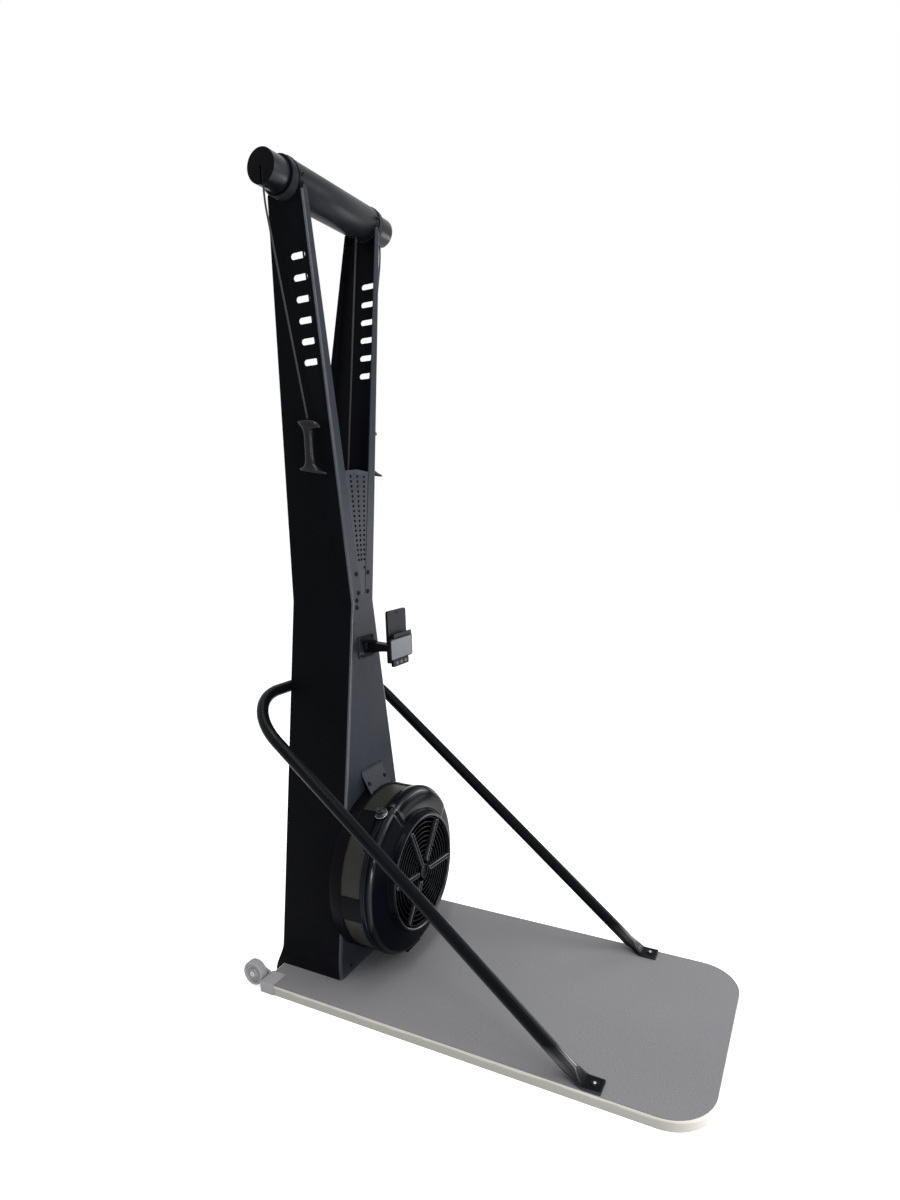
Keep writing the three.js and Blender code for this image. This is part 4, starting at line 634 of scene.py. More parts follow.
def cut_with(obj, *cutters):
    """Cuts tools out of a piece and applies the cut."""
    for cutter in cutters:
        boolean = obj.modifiers.new("cut", "BOOLEAN")
        boolean.operation = "DIFFERENCE"
        boolean.solver = "EXACT"
        boolean.object = cutter
    bpy.context.view_layer.update()
    cut_mesh = bpy.data.meshes.new_from_object(
        obj.evaluated_get(bpy.context.evaluated_depsgraph_get()))
    obj.modifiers.clear()
    obj.data = cut_mesh
    for cutter in cutters:
        bpy.data.objects.remove(cutter)
    return obj


crossbar_rim, crossbar_lip = crossbar_radius - 0.0008, crossbar_half - 0.0008
crossbar = turned("crossbar", [
    (inner_radius, -crossbar_half), (crossbar_rim, -crossbar_half),
    (crossbar_radius, -crossbar_lip), (crossbar_radius, crossbar_lip),
    (crossbar_rim, crossbar_half), (inner_radius, crossbar_half),
], "X", crossbar_origin, 96)
hole_low = crossbar_height - crossbar_radius - 0.002
hole_high = hole_low + 0.012
cut_with(crossbar, *[turned("hole", [
    (0, hole_low), (cord_hole_radius, hole_low), (cord_hole_radius, hole_high), (0, hole_high),
], "Z", (hand * cord_hole_x, crossbar_axis_y, 0), 32) for hand in hands.values()])
fit(soften(crossbar, 0.0003, 1, 50), tube_coat, "frame", "black_paint", "crossbar_tube")
for index, turn in enumerate((5, -18), start=1):
    outward = Vector((0, -math.cos(math.radians(turn)), math.sin(math.radians(turn))))
    screws(f"crossbar_screws_{index}", [
        crossbar_origin + Vector((hand * crossbar_screw_x, 0, 0)) + outward * crossbar_radius
        for hand in hands.values()
    ], outward, 0.0058)

# Pulley heads, their pulleys and the idlers
# Moulded cups pressed into the crossbar's ends. A slot in the end face lets the pull cord swing.
# A grooved pulley turns on a pin in each cup, and an idler on a pin in the tube beside it.
head_collar, head_neck, head_body, head_end = 0.191, 0.201, 0.205, 0.262
head_radius, head_wall, neck_radius = 0.042, 0.003, 0.040
head_pulley_x, head_pulley_z, head_pitch = 0.233, 2.133, 0.022
idler_x, idler_z, idler_pitch = 0.162, 2.132, 0.023
cord_slot_width, cord_slot_depth = 0.008, 0.024
pin_radius, pin_bore, idler_pin_reach = 0.004, 0.0043, 0.044
pulley_half, pulley_rim, pulley_groove = 0.006, 0.003, 0.0028

black_moulding = surface("black_moulding", (0.0018, 0.0019, 0.0028), (0.0040, 0.0042, 0.0055),
                         0.34, grain_scale=1300, bump=0.00004, specular=0.03, dust=0.01)
# The cups' sides take a lighter and glossier copy of the black moulding; the lighter colour is a
# painted highlight.
head_side_highlight = surface("head_side_painted_highlight", (0.0030, 0.0034, 0.0046), (0.0065, 0.0070, 0.0088), 0.30,
                     grain_scale=1300, bump=0.00004, specular=0.22)


def rounded(points, reach, steps=4):
    """Eases the inner corners of an open line of points."""
    eased_points = [points[0]]
    for before, corner, after in zip(points, points[1:], points[2:]):
        corner_v = Vector(corner)
        into, out = Vector(before) - corner_v, Vector(after) - corner_v
        start = corner_v + into.normalized() * min(reach, 0.45 * into.length)
        end = corner_v + out.normalized() * min(reach, 0.45 * out.length)
        for step in range(steps + 1):
            share = step / steps
            eased_points.append(tuple(
                start * (1 - share) ** 2 + corner_v * 2 * share * (1 - share) + end * share ** 2))
    eased_points.append(points[-1])
    return eased_points


def pulley_head(side, hand):
    """A cup with a collar that goes into the crossbar, and a slot from its middle down."""
    cup, bore, collar = head_radius - head_wall, neck_radius - head_wall, inner_radius - 0.0003
    outer = rounded([
        (collar, head_neck), (neck_radius, head_neck + 0.0003), (neck_radius, head_body),
        (head_radius, head_body), (head_radius, head_end), (0.001, head_end),
    ], 0.0016)
    outline = [
        (0, head_end - head_wall), (cup, head_end - head_wall), (cup, head_body + head_wall),
        (bore, head_body + head_wall), (bore, head_collar), (collar, head_collar), *outer,
        (0, head_end),
    ]
    shell = turned(f"head_{side}", [(radius, hand * place) for radius, place in outline],
                   "X", crossbar_origin, 96)
    half = cord_slot_width / 2
    slot_from, slot_to = head_end - cord_slot_depth, head_end + 0.01
    corners = [(hand * x, crossbar_axis_y + y, crossbar_height) for x, y in (
        (slot_from, -half), (slot_from, half), (slot_to, half), (slot_to, -half))]
    cut_with(shell, prism("slot", corners, (0, 0, -head_radius - 0.01)))
    return soften(shell, 0.0004, 2, 50)


def second_finish(piece, material, chosen):
    """Gives the chosen faces of a piece another finish."""
    piece.data.materials.append(material)
    for face in piece.data.polygons:
        face.material_index = int(chosen(face))


def grooved_pulley(name, node, pitch_radius, centre):
    """A moulded pulley about the Y axis with a round groove for the cord, on a body of its own."""
    half, outer, floor = pulley_half, pitch_radius + pulley_rim, pitch_radius - pulley_groove
    groove = [(outer - 0.0002, half - 0.0012), (floor + 0.001, 0.0028), (floor, 0.0018)]
    groove += [(radius, -place) for radius, place in reversed(groove)]
    shape = turned(name, [
        (pin_bore, -half), (pin_bore, half), (outer - 0.0012, half), (outer, half - 0.0005),
        *groove, (outer, -half + 0.0005), (outer - 0.0012, -half),
    ], "Y", centre, 56)
    fit(shape, black_moulding, node, "black_moulding", node)


def pulley_pin(name, centre, reach):
    """A plain steel pin through a pulley."""
    pin = turned(name, [(0, -reach), (pin_radius, -reach), (pin_radius, reach), (0, reach)],
                 "Y", centre, 24)
    fit(pin, zinc_plate, "frame", "zinc")


for side, hand in hands.items():
    shell = fit(pulley_head(side, hand), black_moulding, "frame", "black_moulding",
                f"pulley_head_{side}")
    # The side faces take the lighter copy, a painted highlight.
    second_finish(shell, head_side_highlight, lambda face: abs(face.normal.x) < 0.5)
    head_centre = (hand * head_pulley_x, crossbar_axis_y, head_pulley_z)
    grooved_pulley(f"pulley_{side}", f"head_pulley_{side}", head_pitch, head_centre)
    pulley_pin(f"head_pin_{side}", head_centre, head_radius - 0.0025)
    idler_centre = (hand * idler_x, crossbar_axis_y, idler_z)
    grooved_pulley(f"idler_{side}", f"idler_pulley_{side}", idler_pitch, idler_centre)
    pulley_pin(f"idler_pin_{side}", idler_centre, idler_pin_reach)

# Guide rollers
# Two small grooved rollers at the waist bring the cords to the middle of the column. They turn on
# pins of one steel bracket behind the front plate.
drum_depth = {"left": 0.430, "right": 0.474}
roller_height, roller_x, roller_pitch = 1.100, 0.0345, 0.0125

for side, hand in hands.items():
    grooved_pulley(f"roller_{side}", f"guide_roller_{side}", roller_pitch,
                   (hand * roller_x, drum_depth[side], roller_height))
dressed("roller_bracket", black_coat, "black_paint", 0.0005)

# Cords
# Braided cord, 5 mm thick. The drive cords run inside the crossbar and the arms to the drums; the
# pull cords leave the heads straight down and bend over to the handles, and lengthen as these move.
cord_radius, braid_pitch = 0.0025, 0.0042
cord_exit_x = head_pulley_x + head_pitch
cord_join_z = head_pulley_z - 0.015
cord_bend_z, cord_bend_radius = head_pulley_z - 0.081, 0.300
cord_top, drum_pitch, shaft_height = 2.155, 0.022, 0.287
handle_x, handle_top_z, cord_in_handle = 0.134, crossbar_height - 0.5785, 0.006


def build_braid():
    """The cords' finish: two sets of strands that cross along the cord, with painted shade
    darkening the grooves between them.
    """
    material = bpy.data.materials.new("braided_cord")
    tree, shader = finish_nodes(material)
    along = axes_of(tree, add_node(tree, "TexCoord").outputs["UV"])
    around = math_node(tree, "MULTIPLY", along["X"], 8 * math.pi)
    ahead = math_node(tree, "MULTIPLY", along["Y"], 2 * math.pi / braid_pitch)
    strands = [math_node(tree, "SINE", math_node(tree, way, around, ahead))
               for way in ("ADD", "SUBTRACT")]
    height = math_node(tree, "MAXIMUM", *strands)
    share = math_node(tree, "MULTIPLY_ADD", height, 0.5, clamp=True)
    relief = add_node(tree, "Bump", {"Distance": 0.0003, "Height": height})
    feed(tree, shader, {
        "Specular IOR Level": 0.3, "Roughness": 0.75, "Normal": relief.outputs["Normal"],
        "Base Color": mix_colours(tree, share, (0.008, 0.008, 0.008), (0.035, 0.036, 0.036)),
    })
    return material


def route_stations(corners, radii, bend_steps=14, run_step=None):
    """Points and headings along straight runs joined by round bends."""
    headings = [(b - a).normalized() for a, b in zip(corners, corners[1:])]
    stations = [(corners[0], headings[0])]
    for corner, inward, outward, radius in zip(corners[1:], headings, headings[1:], radii):
        turn = inward.angle(outward)
        aside = (outward - inward * outward.dot(inward)).normalized()
        centre = corner - inward * radius * math.tan(turn / 2) + aside * radius
        for step in range(bend_steps + 1):
            angle = turn * step / bend_steps
            stations.append((
                centre - aside * radius * math.cos(angle) + inward * radius * math.sin(angle),
                inward * math.cos(angle) + aside * math.sin(angle),
            ))
    stations.append((corners[-1], headings[-1]))
    if run_step is None:
        return stations
    filled = [stations[0]]
    for station in stations[1:]:
        last = filled[-1][0]
        count = max(1, round((station[0] - last).length / run_step))
        for step in range(1, count):
            filled.append((last.lerp(station[0], step / count), station[1]))
        filled.append(station)
    return filled


def cord_mesh(name, stations, sides=16):
    """A round cord along its stations, with its turn and length as texture coordinates."""
    bm = bmesh.new()
    layer = bm.loops.layers.uv.new("along")
    rings, travelled, lengths = [], 0, []
    side = stations[0][1].orthogonal().normalized()
    for index, (place, heading) in enumerate(stations):
        if index:
            travelled += (place - stations[index - 1][0]).length
        side = (side - heading * side.dot(heading)).normalized()
        up = heading.cross(side)
        rings.append([bm.verts.new(place + (side * math.cos(a) + up * math.sin(a)) * cord_radius)
                      for a in even_angles(sides)])
        lengths.append(travelled)
    skin(bm, rings)
    for index, face in enumerate(bm.faces):
        row, turn = divmod(index, sides)
        for loop, (along, around) in zip(face.loops, ((0, 0), (0, 1), (1, 1), (1, 0))):
            loop[layer].uv = ((turn + around) / sides, lengths[row + along])
    bm.faces.new(rings[0])
    bm.faces.new(rings[-1])
    return mesh_object(name, bm)


braid = build_braid()
# The straight run inside an arm touches the idler and the guide roller
arm_run = Vector((idler_x - roller_x, idler_z - roller_height))
arm_lean = (math.acos((idler_pitch - roller_pitch) / arm_run.length)
            - math.atan2(arm_run.y, arm_run.x))
arm_run_x = idler_x - idler_pitch * math.cos(arm_lean)
arm_run_z = idler_z + idler_pitch * math.sin(arm_lean)
top_run_x = arm_run_x + (cord_top - arm_run_z) * math.tan(arm_lean)
roller_corner_z = arm_run_z - (arm_run_x - drum_pitch) / math.tan(arm_lean)

for side, hand in hands.items():
    drive_corners = [Vector((hand * x, y, z)) for x, y, z in (
        (cord_exit_x, crossbar_axis_y, cord_join_z + 0.0003),
        (cord_exit_x, crossbar_axis_y, cord_top),
        (top_run_x, crossbar_axis_y, cord_top),
        (drum_pitch, drum_depth[side], roller_corner_z),
        (drum_pitch, drum_depth[side], shaft_height))]
    drive_route = route_stations(drive_corners, [head_pitch, idler_pitch, roller_pitch])
    fit(cord_mesh(f"drive_cord_{side}_braid", drive_route), braid, "frame", "cord",
        f"drive_cord_{side}")
    pull_corners = [Vector((hand * x, crossbar_axis_y, z)) for x, z in (
        (cord_exit_x, cord_join_z), (cord_exit_x, cord_bend_z),
        (handle_x, handle_top_z - cord_in_handle))]
    pull = cord_mesh(f"pull_cord_{side}_braid",
                     route_stations(pull_corners, [cord_bend_radius], 14, 0.012))
    pull.data.materials.append(braid)
    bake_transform(pull)
    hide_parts(f"pull_cord_{side}")

# Handles
# One moulding each, in black plastic: a hooded cap with a beak in front and a horn behind, a slim
# grip and a flared foot that slopes down to a toe. The cord is knotted inside the cap.
handle_height = 0.145
# Each section: height on the axis, slope towards the rear, reach forward, reach back, half width
handle_sections = [
    (0.0100, 0.195, 0.0450, 0.0270, 0.0125),
    (0.0106, 0.195, 0.0490, 0.0310, 0.0154),
    (0.0130, 0.195, 0.0500, 0.0320, 0.0160),
    (0.0152, 0.195, 0.0495, 0.0315, 0.0158),
    (0.0168, 0.190, 0.0445, 0.0285, 0.0146),
    (0.0200, 0.170, 0.0330, 0.0222, 0.0130),
    (0.0265, 0.110, 0.0205, 0.0158, 0.0119),
    (0.0350, 0.045, 0.0143, 0.0128, 0.0115),
    (0.0460, 0.000, 0.0120, 0.0120, 0.0115),
    (0.0750, 0.000, 0.0118, 0.0118, 0.0113),
    (0.1030, 0.000, 0.0120, 0.0120, 0.0115),
    (0.1130, 0.030, 0.0136, 0.0130, 0.0124),
    (0.1205, 0.120, 0.0185, 0.0155, 0.0138),
    (0.1265, 0.230, 0.0300, 0.0240, 0.0148),
    (0.1310, 0.280, 0.0380, 0.0315, 0.0150),
    (0.1355, 0.250, 0.0375, 0.0308, 0.0150),
    (0.1405, 0.130, 0.0315, 0.0235, 0.0140),
    (0.1438, 0.040, 0.0195, 0.0140, 0.0098),
]


def handle_shape(name, x):
    """Lofts the sections with oval rings, flatter where the flanges run out."""
    bottom = handle_top_z - handle_height
    bm = bmesh.new()
    rings = []
    for height, slope, forward, back, half in handle_sections:
        ring = []
        for angle in even_angles(24):
            c, s = math.cos(angle), math.sin(angle)
            across = half * math.copysign(abs(c) ** 0.8, c)
            depth = (back if s > 0 else forward) * math.copysign(abs(s) ** 0.9, s)
            ring.append(bm.verts.new(
                (x + across, crossbar_axis_y + depth, bottom + height + slope * depth)))
        rings.append(ring)
    skin(bm, rings)
    for ring in (rings[0], rings[-1]):
        middle = sum((vertex.co for vertex in ring), Vector()) / len(ring)
        skin(bm, [ring, [bm.verts.new(middle)]])
    shape = mesh_object(name, bm)
    smooth = shape.modifiers.new("smooth_form", "SUBSURF")
    smooth.levels = smooth.render_levels = 2
    return shape


handle_moulding = surface("handle_moulding", (0.0026, 0.0028, 0.0036), (0.0060, 0.0064, 0.0076),
                          0.26, grain_scale=1100, bump=0.00006, specular=0.18, dust=0.01,
                          edge_wear_and_highlight=(0.04, 0.04, 0.045))
ferrule_outline = [(0, -0.004), (0.0045, -0.004), (0.0045, 0.001), (0.0040, 0.0022),
                   (0.0028, 0.0026), (0.0028, -0.001), (0, -0.001)]
for side, hand in hands.items():
    fit(handle_shape(f"grip_{side}", hand * handle_x), handle_moulding, f"handle_{side}",
        "black_moulding", f"handle_{side}")
    ferrule = turned(f"cord_ferrule_{side}", ferrule_outline, "Z",
                     (hand * handle_x, crossbar_axis_y, handle_top_z), 32)
    fit(ferrule, black_moulding, f"handle_{side}", "black_moulding")

# Shaft, bearings, drums and return bungees
# A turned steel shaft carries the fan's flywheel in front and the two cord drums behind the front
# plate. A bungee from a bracket higher up turns each drum back.
steel_turned = surface("turned_steel", (0.42, 0.43, 0.44), (0.55, 0.56, 0.58), 0.24,
                       grain_scale=1800, metallic=1.0)
bungee_cover = surface("bungee_cover", (0.006, 0.006, 0.006), (0.014, 0.014, 0.014), 0.8,
                       grain_scale=1600, bump=0.0002, specular=0.1)


def keep_nodes(material, *nodes):
    """CAD nodes that already have their shape get a finish."""
    for node in nodes:
        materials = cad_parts[node].data.materials
        materials.clear()
        materials.append(material)


keep_nodes(steel_turned, "flywheel_shaft", "shaft_bearing_front", "shaft_bearing_rear")
keep_nodes(bungee_cover, "return_bungee_left", "return_bungee_right")
keep_nodes(black_moulding, "cord_drum_left", "cord_drum_right")
for node in ("bearing_bracket", "bungee_anchor"):
    dressed(node, black_coat, "black_paint", 0.0006)

# Fan housing
# A moulded drum: a back disc and a rear ring, six struts across the open band and a front ring.
# A fine mesh of perforated sheet lines the band, with a shutter ring inside it.
fan_axis_z, fan_radius, fan_wall = shaft_height, 0.230, 0.004
fan_back, rear_ring_front = column_front - 0.008, column_front - 0.042
front_ring_back, front_ring_front = column_front - 0.104, column_front - 0.107
ring_inner, housing_bore = fan_radius - fan_wall, 0.030
strut_count, strut_first, strut_width = 6, 6, 17
slot_from, slot_to = 114, 146
slot_front, slot_back = column_front - 0.1035, column_front - 0.0935
mesh_radius, mesh_thickness, hole_pitch = ring_inner - 0.0003, 0.0015, 0.0032
fan_origin = Vector((0, 0, fan_axis_z))


def fan_wedge(bm, from_angle, to_angle, inner, outer, front, back, steps):
    """A curved block about the fan's axis, between two angles in degrees from +X towards +Z."""
    line = corner_arc((0, fan_axis_z), outer, from_angle, to_angle, steps)
    line += corner_arc((0, fan_axis_z), inner, to_angle, from_angle, steps)
    rows = [[bm.verts.new((x, y, z)) for x, z in line] for y in (front, back)]
    skin(bm, rows)
    for row in rows:
        for i in range(steps):
            bm.faces.new((row[i], row[i + 1], row[-2 - i], row[-1 - i]))


def lever_slot_cutter():
    """A block that cuts the slot for the damper's lever."""
    bm = bmesh.new()
    fan_wedge(bm, slot_from, slot_to, ring_inner - 0.006, fan_radius + 0.004, slot_front,
              slot_back, 16)
    return mesh_object("cutter", bm)


def rear_housing():
    """The back disc with its rear ring, and the front ring."""
    bm = bmesh.new()
    angles = even_angles(120)
    drum = rounded([
        (housing_bore, fan_back), (fan_radius, fan_back), (fan_radius, rear_ring_front),
        (ring_inner, rear_ring_front), (ring_inner, fan_back - fan_wall),
        (housing_bore, fan_back - fan_wall),
    ], 0.0015, 3)
    turn_into(bm, drum, turn_frames["Y"], fan_origin, angles)
    turn_into(bm, [
        (ring_inner, front_ring_back), (fan_radius, front_ring_back),
        (fan_radius, front_ring_front), (ring_inner, front_ring_front),
    ], turn_frames["Y"], fan_origin, angles)
    return mesh_object("fan_drum", bm)


def strut_set():
    """The struts that carry the front ring."""
    bm = bmesh.new()
    for i in range(strut_count):
        middle = strut_first + 360 * i / strut_count
        fan_wedge(bm, middle - strut_width / 2, middle + strut_width / 2, ring_inner + 0.0003,
                  fan_radius - 0.0009, front_ring_back, rear_ring_front, 8)
    return mesh_object("fan_struts", bm)


def build_perforated():
    """Painted sheet with rows of small round holes, laid out round the fan's axis."""
    material = surface("perforated_sheet", (0.021, 0.021, 0.019), (0.034, 0.033, 0.030), 0.42,
                       grain_scale=900, specular=0.12, dust=0.03)
    tree, shader = finish_nodes(material)
    tone = shader.inputs["Base Color"].links[0].from_socket
    place = axes_of(tree, place_on(tree))
    height = math_node(tree, "SUBTRACT", place["Z"], fan_axis_z)
    angle = math_node(tree, "ARCTAN2", height, place["X"])
    around = math_node(tree, "MULTIPLY", angle, 2 * math.pi * mesh_radius / hole_pitch)
    ahead = math_node(tree, "MULTIPLY", place["Y"], 2 * math.pi / hole_pitch)
    wave = math_node(tree, "MULTIPLY", *(math_node(tree, "SINE", way) for way in (around, ahead)))
    hole = math_node(tree, "GREATER_THAN", wave, 0.45)
    feed(tree, shader, {"Base Color": mix_colours(tree, hole, tone, (0.006, 0.006, 0.006))})
    return material


fit(soften(rear_housing(), 0.0006, 2, 50), black_moulding, "frame", "black_moulding",
    "fan_rear_housing")
struts = cut_with(strut_set(), lever_slot_cutter())
fit(soften(struts, 0.0006, 2, 50), black_moulding, "frame", "black_moulding")
mesh_inner, mesh_back = mesh_radius - mesh_thickness, rear_ring_front + fan_wall
mesh_band = turned("mesh_sheet", [
    (mesh_radius, front_ring_front), (mesh_radius, mesh_back), (mesh_inner, mesh_back),
    (mesh_inner, front_ring_front),
], "Y", fan_origin, 144)
cut_with(mesh_band, lever_slot_cutter())
fit(soften(mesh_band, 0.0002, 1, 50), build_perforated(), "frame", "mesh", "fan_mesh_band")

# Damper
# The shutter ring turns inside the mesh. Its lever comes out through the slot and carries a ribbed
# knob, with a satin metal collar about the wider foot of the knob.
knob_angle, knob_forward = math.radians(119.5), 0.109
knob_foot, knob_top = 0.2345, 0.252
knob_radius, knob_flange, knob_ribs = 0.0105, 0.017, 16
knob_out, knob_side = Vector((math.cos(knob_angle), 0, math.sin(knob_angle))), Vector((0, 1, 0))
knob_frame = (knob_side, knob_out.cross(knob_side), knob_out)
knob_origin = Vector((0, column_front - knob_forward, fan_axis_z))

keep_nodes(black_moulding, "damper_ring")


def knob_shape():
    """A turned knob whose grip is ribbed by pushing every other side in."""
    outline = rounded([
        (0.0005, knob_foot), (knob_flange, knob_foot), (knob_flange, knob_foot + 0.003),
        (knob_radius, knob_foot + 0.0045), (knob_radius, knob_top - 0.0005),
        (knob_radius - 0.0022, knob_top), (knob_radius - 0.0032, knob_top - 0.001),
        (0.0005, knob_top - 0.001),
    ], 0.0006, 2)
    grip = [i for i, (radius, place) in enumerate(outline)
            if abs(radius - knob_radius) < 0.0004 and place > knob_foot + 0.004]

    def lift(angle, index):
        inward = index in grip and round(angle * 2 * knob_ribs / math.pi) % 4 in (0, 1)
        return (-0.0005 if inward else 0, 0)

    bm = bmesh.new()
    turn_into(bm, [(0, knob_foot), *outline, (0, knob_top - 0.001)], knob_frame, knob_origin,
              even_angles(4 * knob_ribs), lift)
    return mesh_object("damper_knob_shape", bm)


def collar_shape():
    """A thin ring that hooks over the flange of the knob."""
    bm = bmesh.new()
    turn_into(bm, rounded([
        (knob_radius + 0.0006, knob_foot + 0.0031), (knob_flange - 0.0012, knob_foot + 0.0031),
        (knob_flange + 0.0004, knob_foot + 0.0022), (knob_flange + 0.0004, knob_foot + 0.0006),
        (knob_flange + 0.0001, knob_foot + 0.0006), (knob_flange + 0.0001, knob_foot + 0.0020),
        (knob_flange - 0.0014, knob_foot + 0.0026), (knob_radius + 0.0006, knob_foot + 0.0026),
    ], 0.0002, 2), knob_frame, knob_origin, even_angles(64))
    return mesh_object("damper_collar", bm)


knob_moulding = surface("knob_moulding", (0.006, 0.0065, 0.008), (0.012, 0.0125, 0.014), 0.2,
                        grain_scale=1500, specular=0.3, edge_wear_and_highlight=(0.08, 0.08, 0.085))
fit(knob_shape(), knob_moulding, "damper", "black_moulding", "damper_knob")
collar_metal = surface("satin_collar", (0.50, 0.51, 0.53), (0.62, 0.63, 0.65), 0.28,
                       grain_scale=1800, metallic=1.0)
fit(collar_shape(), collar_metal, "damper", "zinc")

# Flywheel
# A thick steel disc on the shaft, with the bladed wheel in front of it. Both show darkly through
# the grille; the disc's steel is darkened below steel's own tone, a painted shade.
steel_darkened_for_shade = surface("steel_darkened_as_painted_shade", (0.05, 0.052, 0.055), (0.09, 0.092, 0.096), 0.48,
                     grain_scale=1500, metallic=1.0)
keep_nodes(steel_darkened_for_shade, "flywheel_disc")
keep_nodes(black_moulding, "fan_impeller")

# Fan cover
# A thin glossy moulding: a rounded shoulder, a sloping face, a step and a raised ring about the
# opening. One span of the face stands proud of the rest, with a seam beside it.
cover_back = column_front - 0.1073
# Radius, and depth in front of the cover's back edge
cover_line = [
    (0.231, 0), (0.231, 0.015), (0.2285, 0.0215), (0.221, 0.029), (0.211, 0.033), (0.170, 0.042),
    (0.166, 0.044), (0.161, 0.059), (0.1575, 0.063), (0.153, 0.061), (0.150, 0.053),
]
cover_thickness, face_foot = 0.003, 0.170
# The raised span and the seam after it, in degrees, and the slope at their ends
raised_from, raised_to, seam_to, ramp_angle = 33, 112, 116, 0.5
raised_height, seam_depth = 0.002, 0.0015


def square_to(start, end):
    """The flat direction square to a run between two points, to its left."""
    run = Vector(end) - Vector(start)
    return Vector((-run.y, run.x)).normalized()


def offset_line(points, distance):
    """Moves an open line sideways, to the left of its direction."""
    moved = []
    for i, point in enumerate(points):
        normals = [square_to(points[a], points[a + 1]) for a in (i - 1, i)
                   if 0 <= a < len(points) - 1]
        normal = sum(normals, Vector((0, 0))).normalized()
        stretch = distance / normal.dot(normals[-1])
        moved.append((point[0] + normal.x * stretch, point[1] + normal.y * stretch))
    return moved


def cover_shape():
    """The cover turned about the fan's axis, with its raised span and its seam lifted in."""
    face = [(radius, cover_back - depth) for radius, depth in cover_line]
    outer = rounded(face, 0.004, 4)
    inner = rounded(offset_line(face, -cover_thickness), 0.003, 2)
    normals = [square_to(outer[max(i - 1, 0)], outer[min(i + 1, len(outer) - 1)])
               for i in range(len(outer))]
    marks = {2 * i for i in range(180)} | {
        mark + shift for mark in (raised_from, raised_to, seam_to)
        for shift in (-ramp_angle, 0, ramp_angle)}
    face_end = max(i for i, (radius, _) in enumerate(outer) if radius > face_foot + 0.003)

    def lift(angle, index):
        degrees, height = math.degrees(angle), 0
        if raised_from < degrees < raised_to:
            height = raised_height
        elif raised_to <= degrees < seam_to:
            height = -seam_depth
        return normals[index] * height if 1 <= index <= face_end else (0, 0)

    bm = bmesh.new()
    turn_into(bm, outer + inner[::-1], turn_frames["Y"], fan_origin,
              [math.radians(mark) for mark in sorted(marks)], lift)
    return mesh_object("fan_cover", bm)


# The cover's lighter convex edges are a painted highlight along its ridges.
cover_gloss = surface("glossy_black_moulding", (0.0012, 0.0016, 0.0030), (0.0026, 0.0032, 0.0055),
                      0.20, grain_scale=700, roughness_spread=0.10, bump=0.00002, specular=0.02,
                      edge_wear_and_highlight=(0.03, 0.035, 0.05), edge_shine=1.0, coat_roughness=0.2)
# Radius, reach to each side and share of polish, for the shoulder and the raised ring
polished_bands = ((0.2235, 0.0065, 0.65), (0.1545, 0.0065, 0.8))
# The back rim stays dull to this depth, and the polish then fades in
dull_rim, dull_fade = 0.009, 0.003


def polish_bands(material):
    """Polishes the cover's rounded shoulder and raised ring, and keeps its back rim dull."""
    tree, shader = finish_nodes(material)
    polished = shader.inputs["Coat Weight"].links[0].from_socket
    place = axes_of(tree, place_on(tree))
    height = math_node(tree, "SUBTRACT", place["Z"], fan_axis_z)
    squares = math_node(tree, "ADD", math_node(tree, "POWER", place["X"], 2),
                        math_node(tree, "MULTIPLY", height, height))
    from_axis = math_node(tree, "SQRT", squares)
    for radius, reach, share in polished_bands:
        away = math_node(tree, "ABSOLUTE", math_node(tree, "SUBTRACT", from_axis, radius))
        band = math_node(tree, "MULTIPLY", ramp(tree, reach, away, reach), share)
        polished = math_node(tree, "MAXIMUM", polished, band)
    ahead = ramp(tree, cover_back - dull_rim, place["Y"], dull_fade)
    feed(tree, shader, {"Coat Weight": math_node(tree, "MULTIPLY", ahead, polished)})


polish_bands(cover_gloss)
fit(cover_shape(), cover_gloss, "frame", "gloss_moulding", "fan_front_cover")

# Grille
# Concentric rings tied by raised bars, moulded in one with a dished hub. Each bar has a long
# round-ended recess along its top.
grille_back = cover_back - 0.0507
grille_seat = 0.150 - 0.0003
ring_pitch, ring_width, ring_depth, ring_count = 0.013, 0.003, 0.005, 9
hub_size, hub_rise, hub_dish = 0.020, 0.011, 0.003
bar_width, bar_rise, bar_gap = 0.012, 0.013, 0.008
bar_angles, hub_bar_angle = (174, 54, -6, -126), 114


def grille_rings():
    """The rings and the dished hub, before the bars tie them together."""
    bm = bmesh.new()
    for i in range(ring_count + 1):
        outer = grille_seat - ring_pitch * (ring_count - i)
        inner = outer - ring_width
        outline = rounded([
            (inner, grille_back), (inner, grille_back - ring_depth),
            (outer, grille_back - ring_depth), (outer, grille_back),
        ], 0.0009, 2)
        turn_into(bm, outline, turn_frames["Y"], fan_origin, even_angles(96))
    hub_front = grille_back - hub_rise
    hub = rounded([
        (hub_size, grille_back), (hub_size, hub_front), (hub_size - 0.003, hub_front),
        (hub_size - 0.006, hub_front + hub_dish), (0.001, hub_front + hub_dish),
    ], 0.0009, 2)
    turn_into(bm, [(0, grille_back), *hub, (0, hub_front + hub_dish)], turn_frames["Y"],
              fan_origin, even_angles(64))
    return mesh_object("grille_rings", bm)


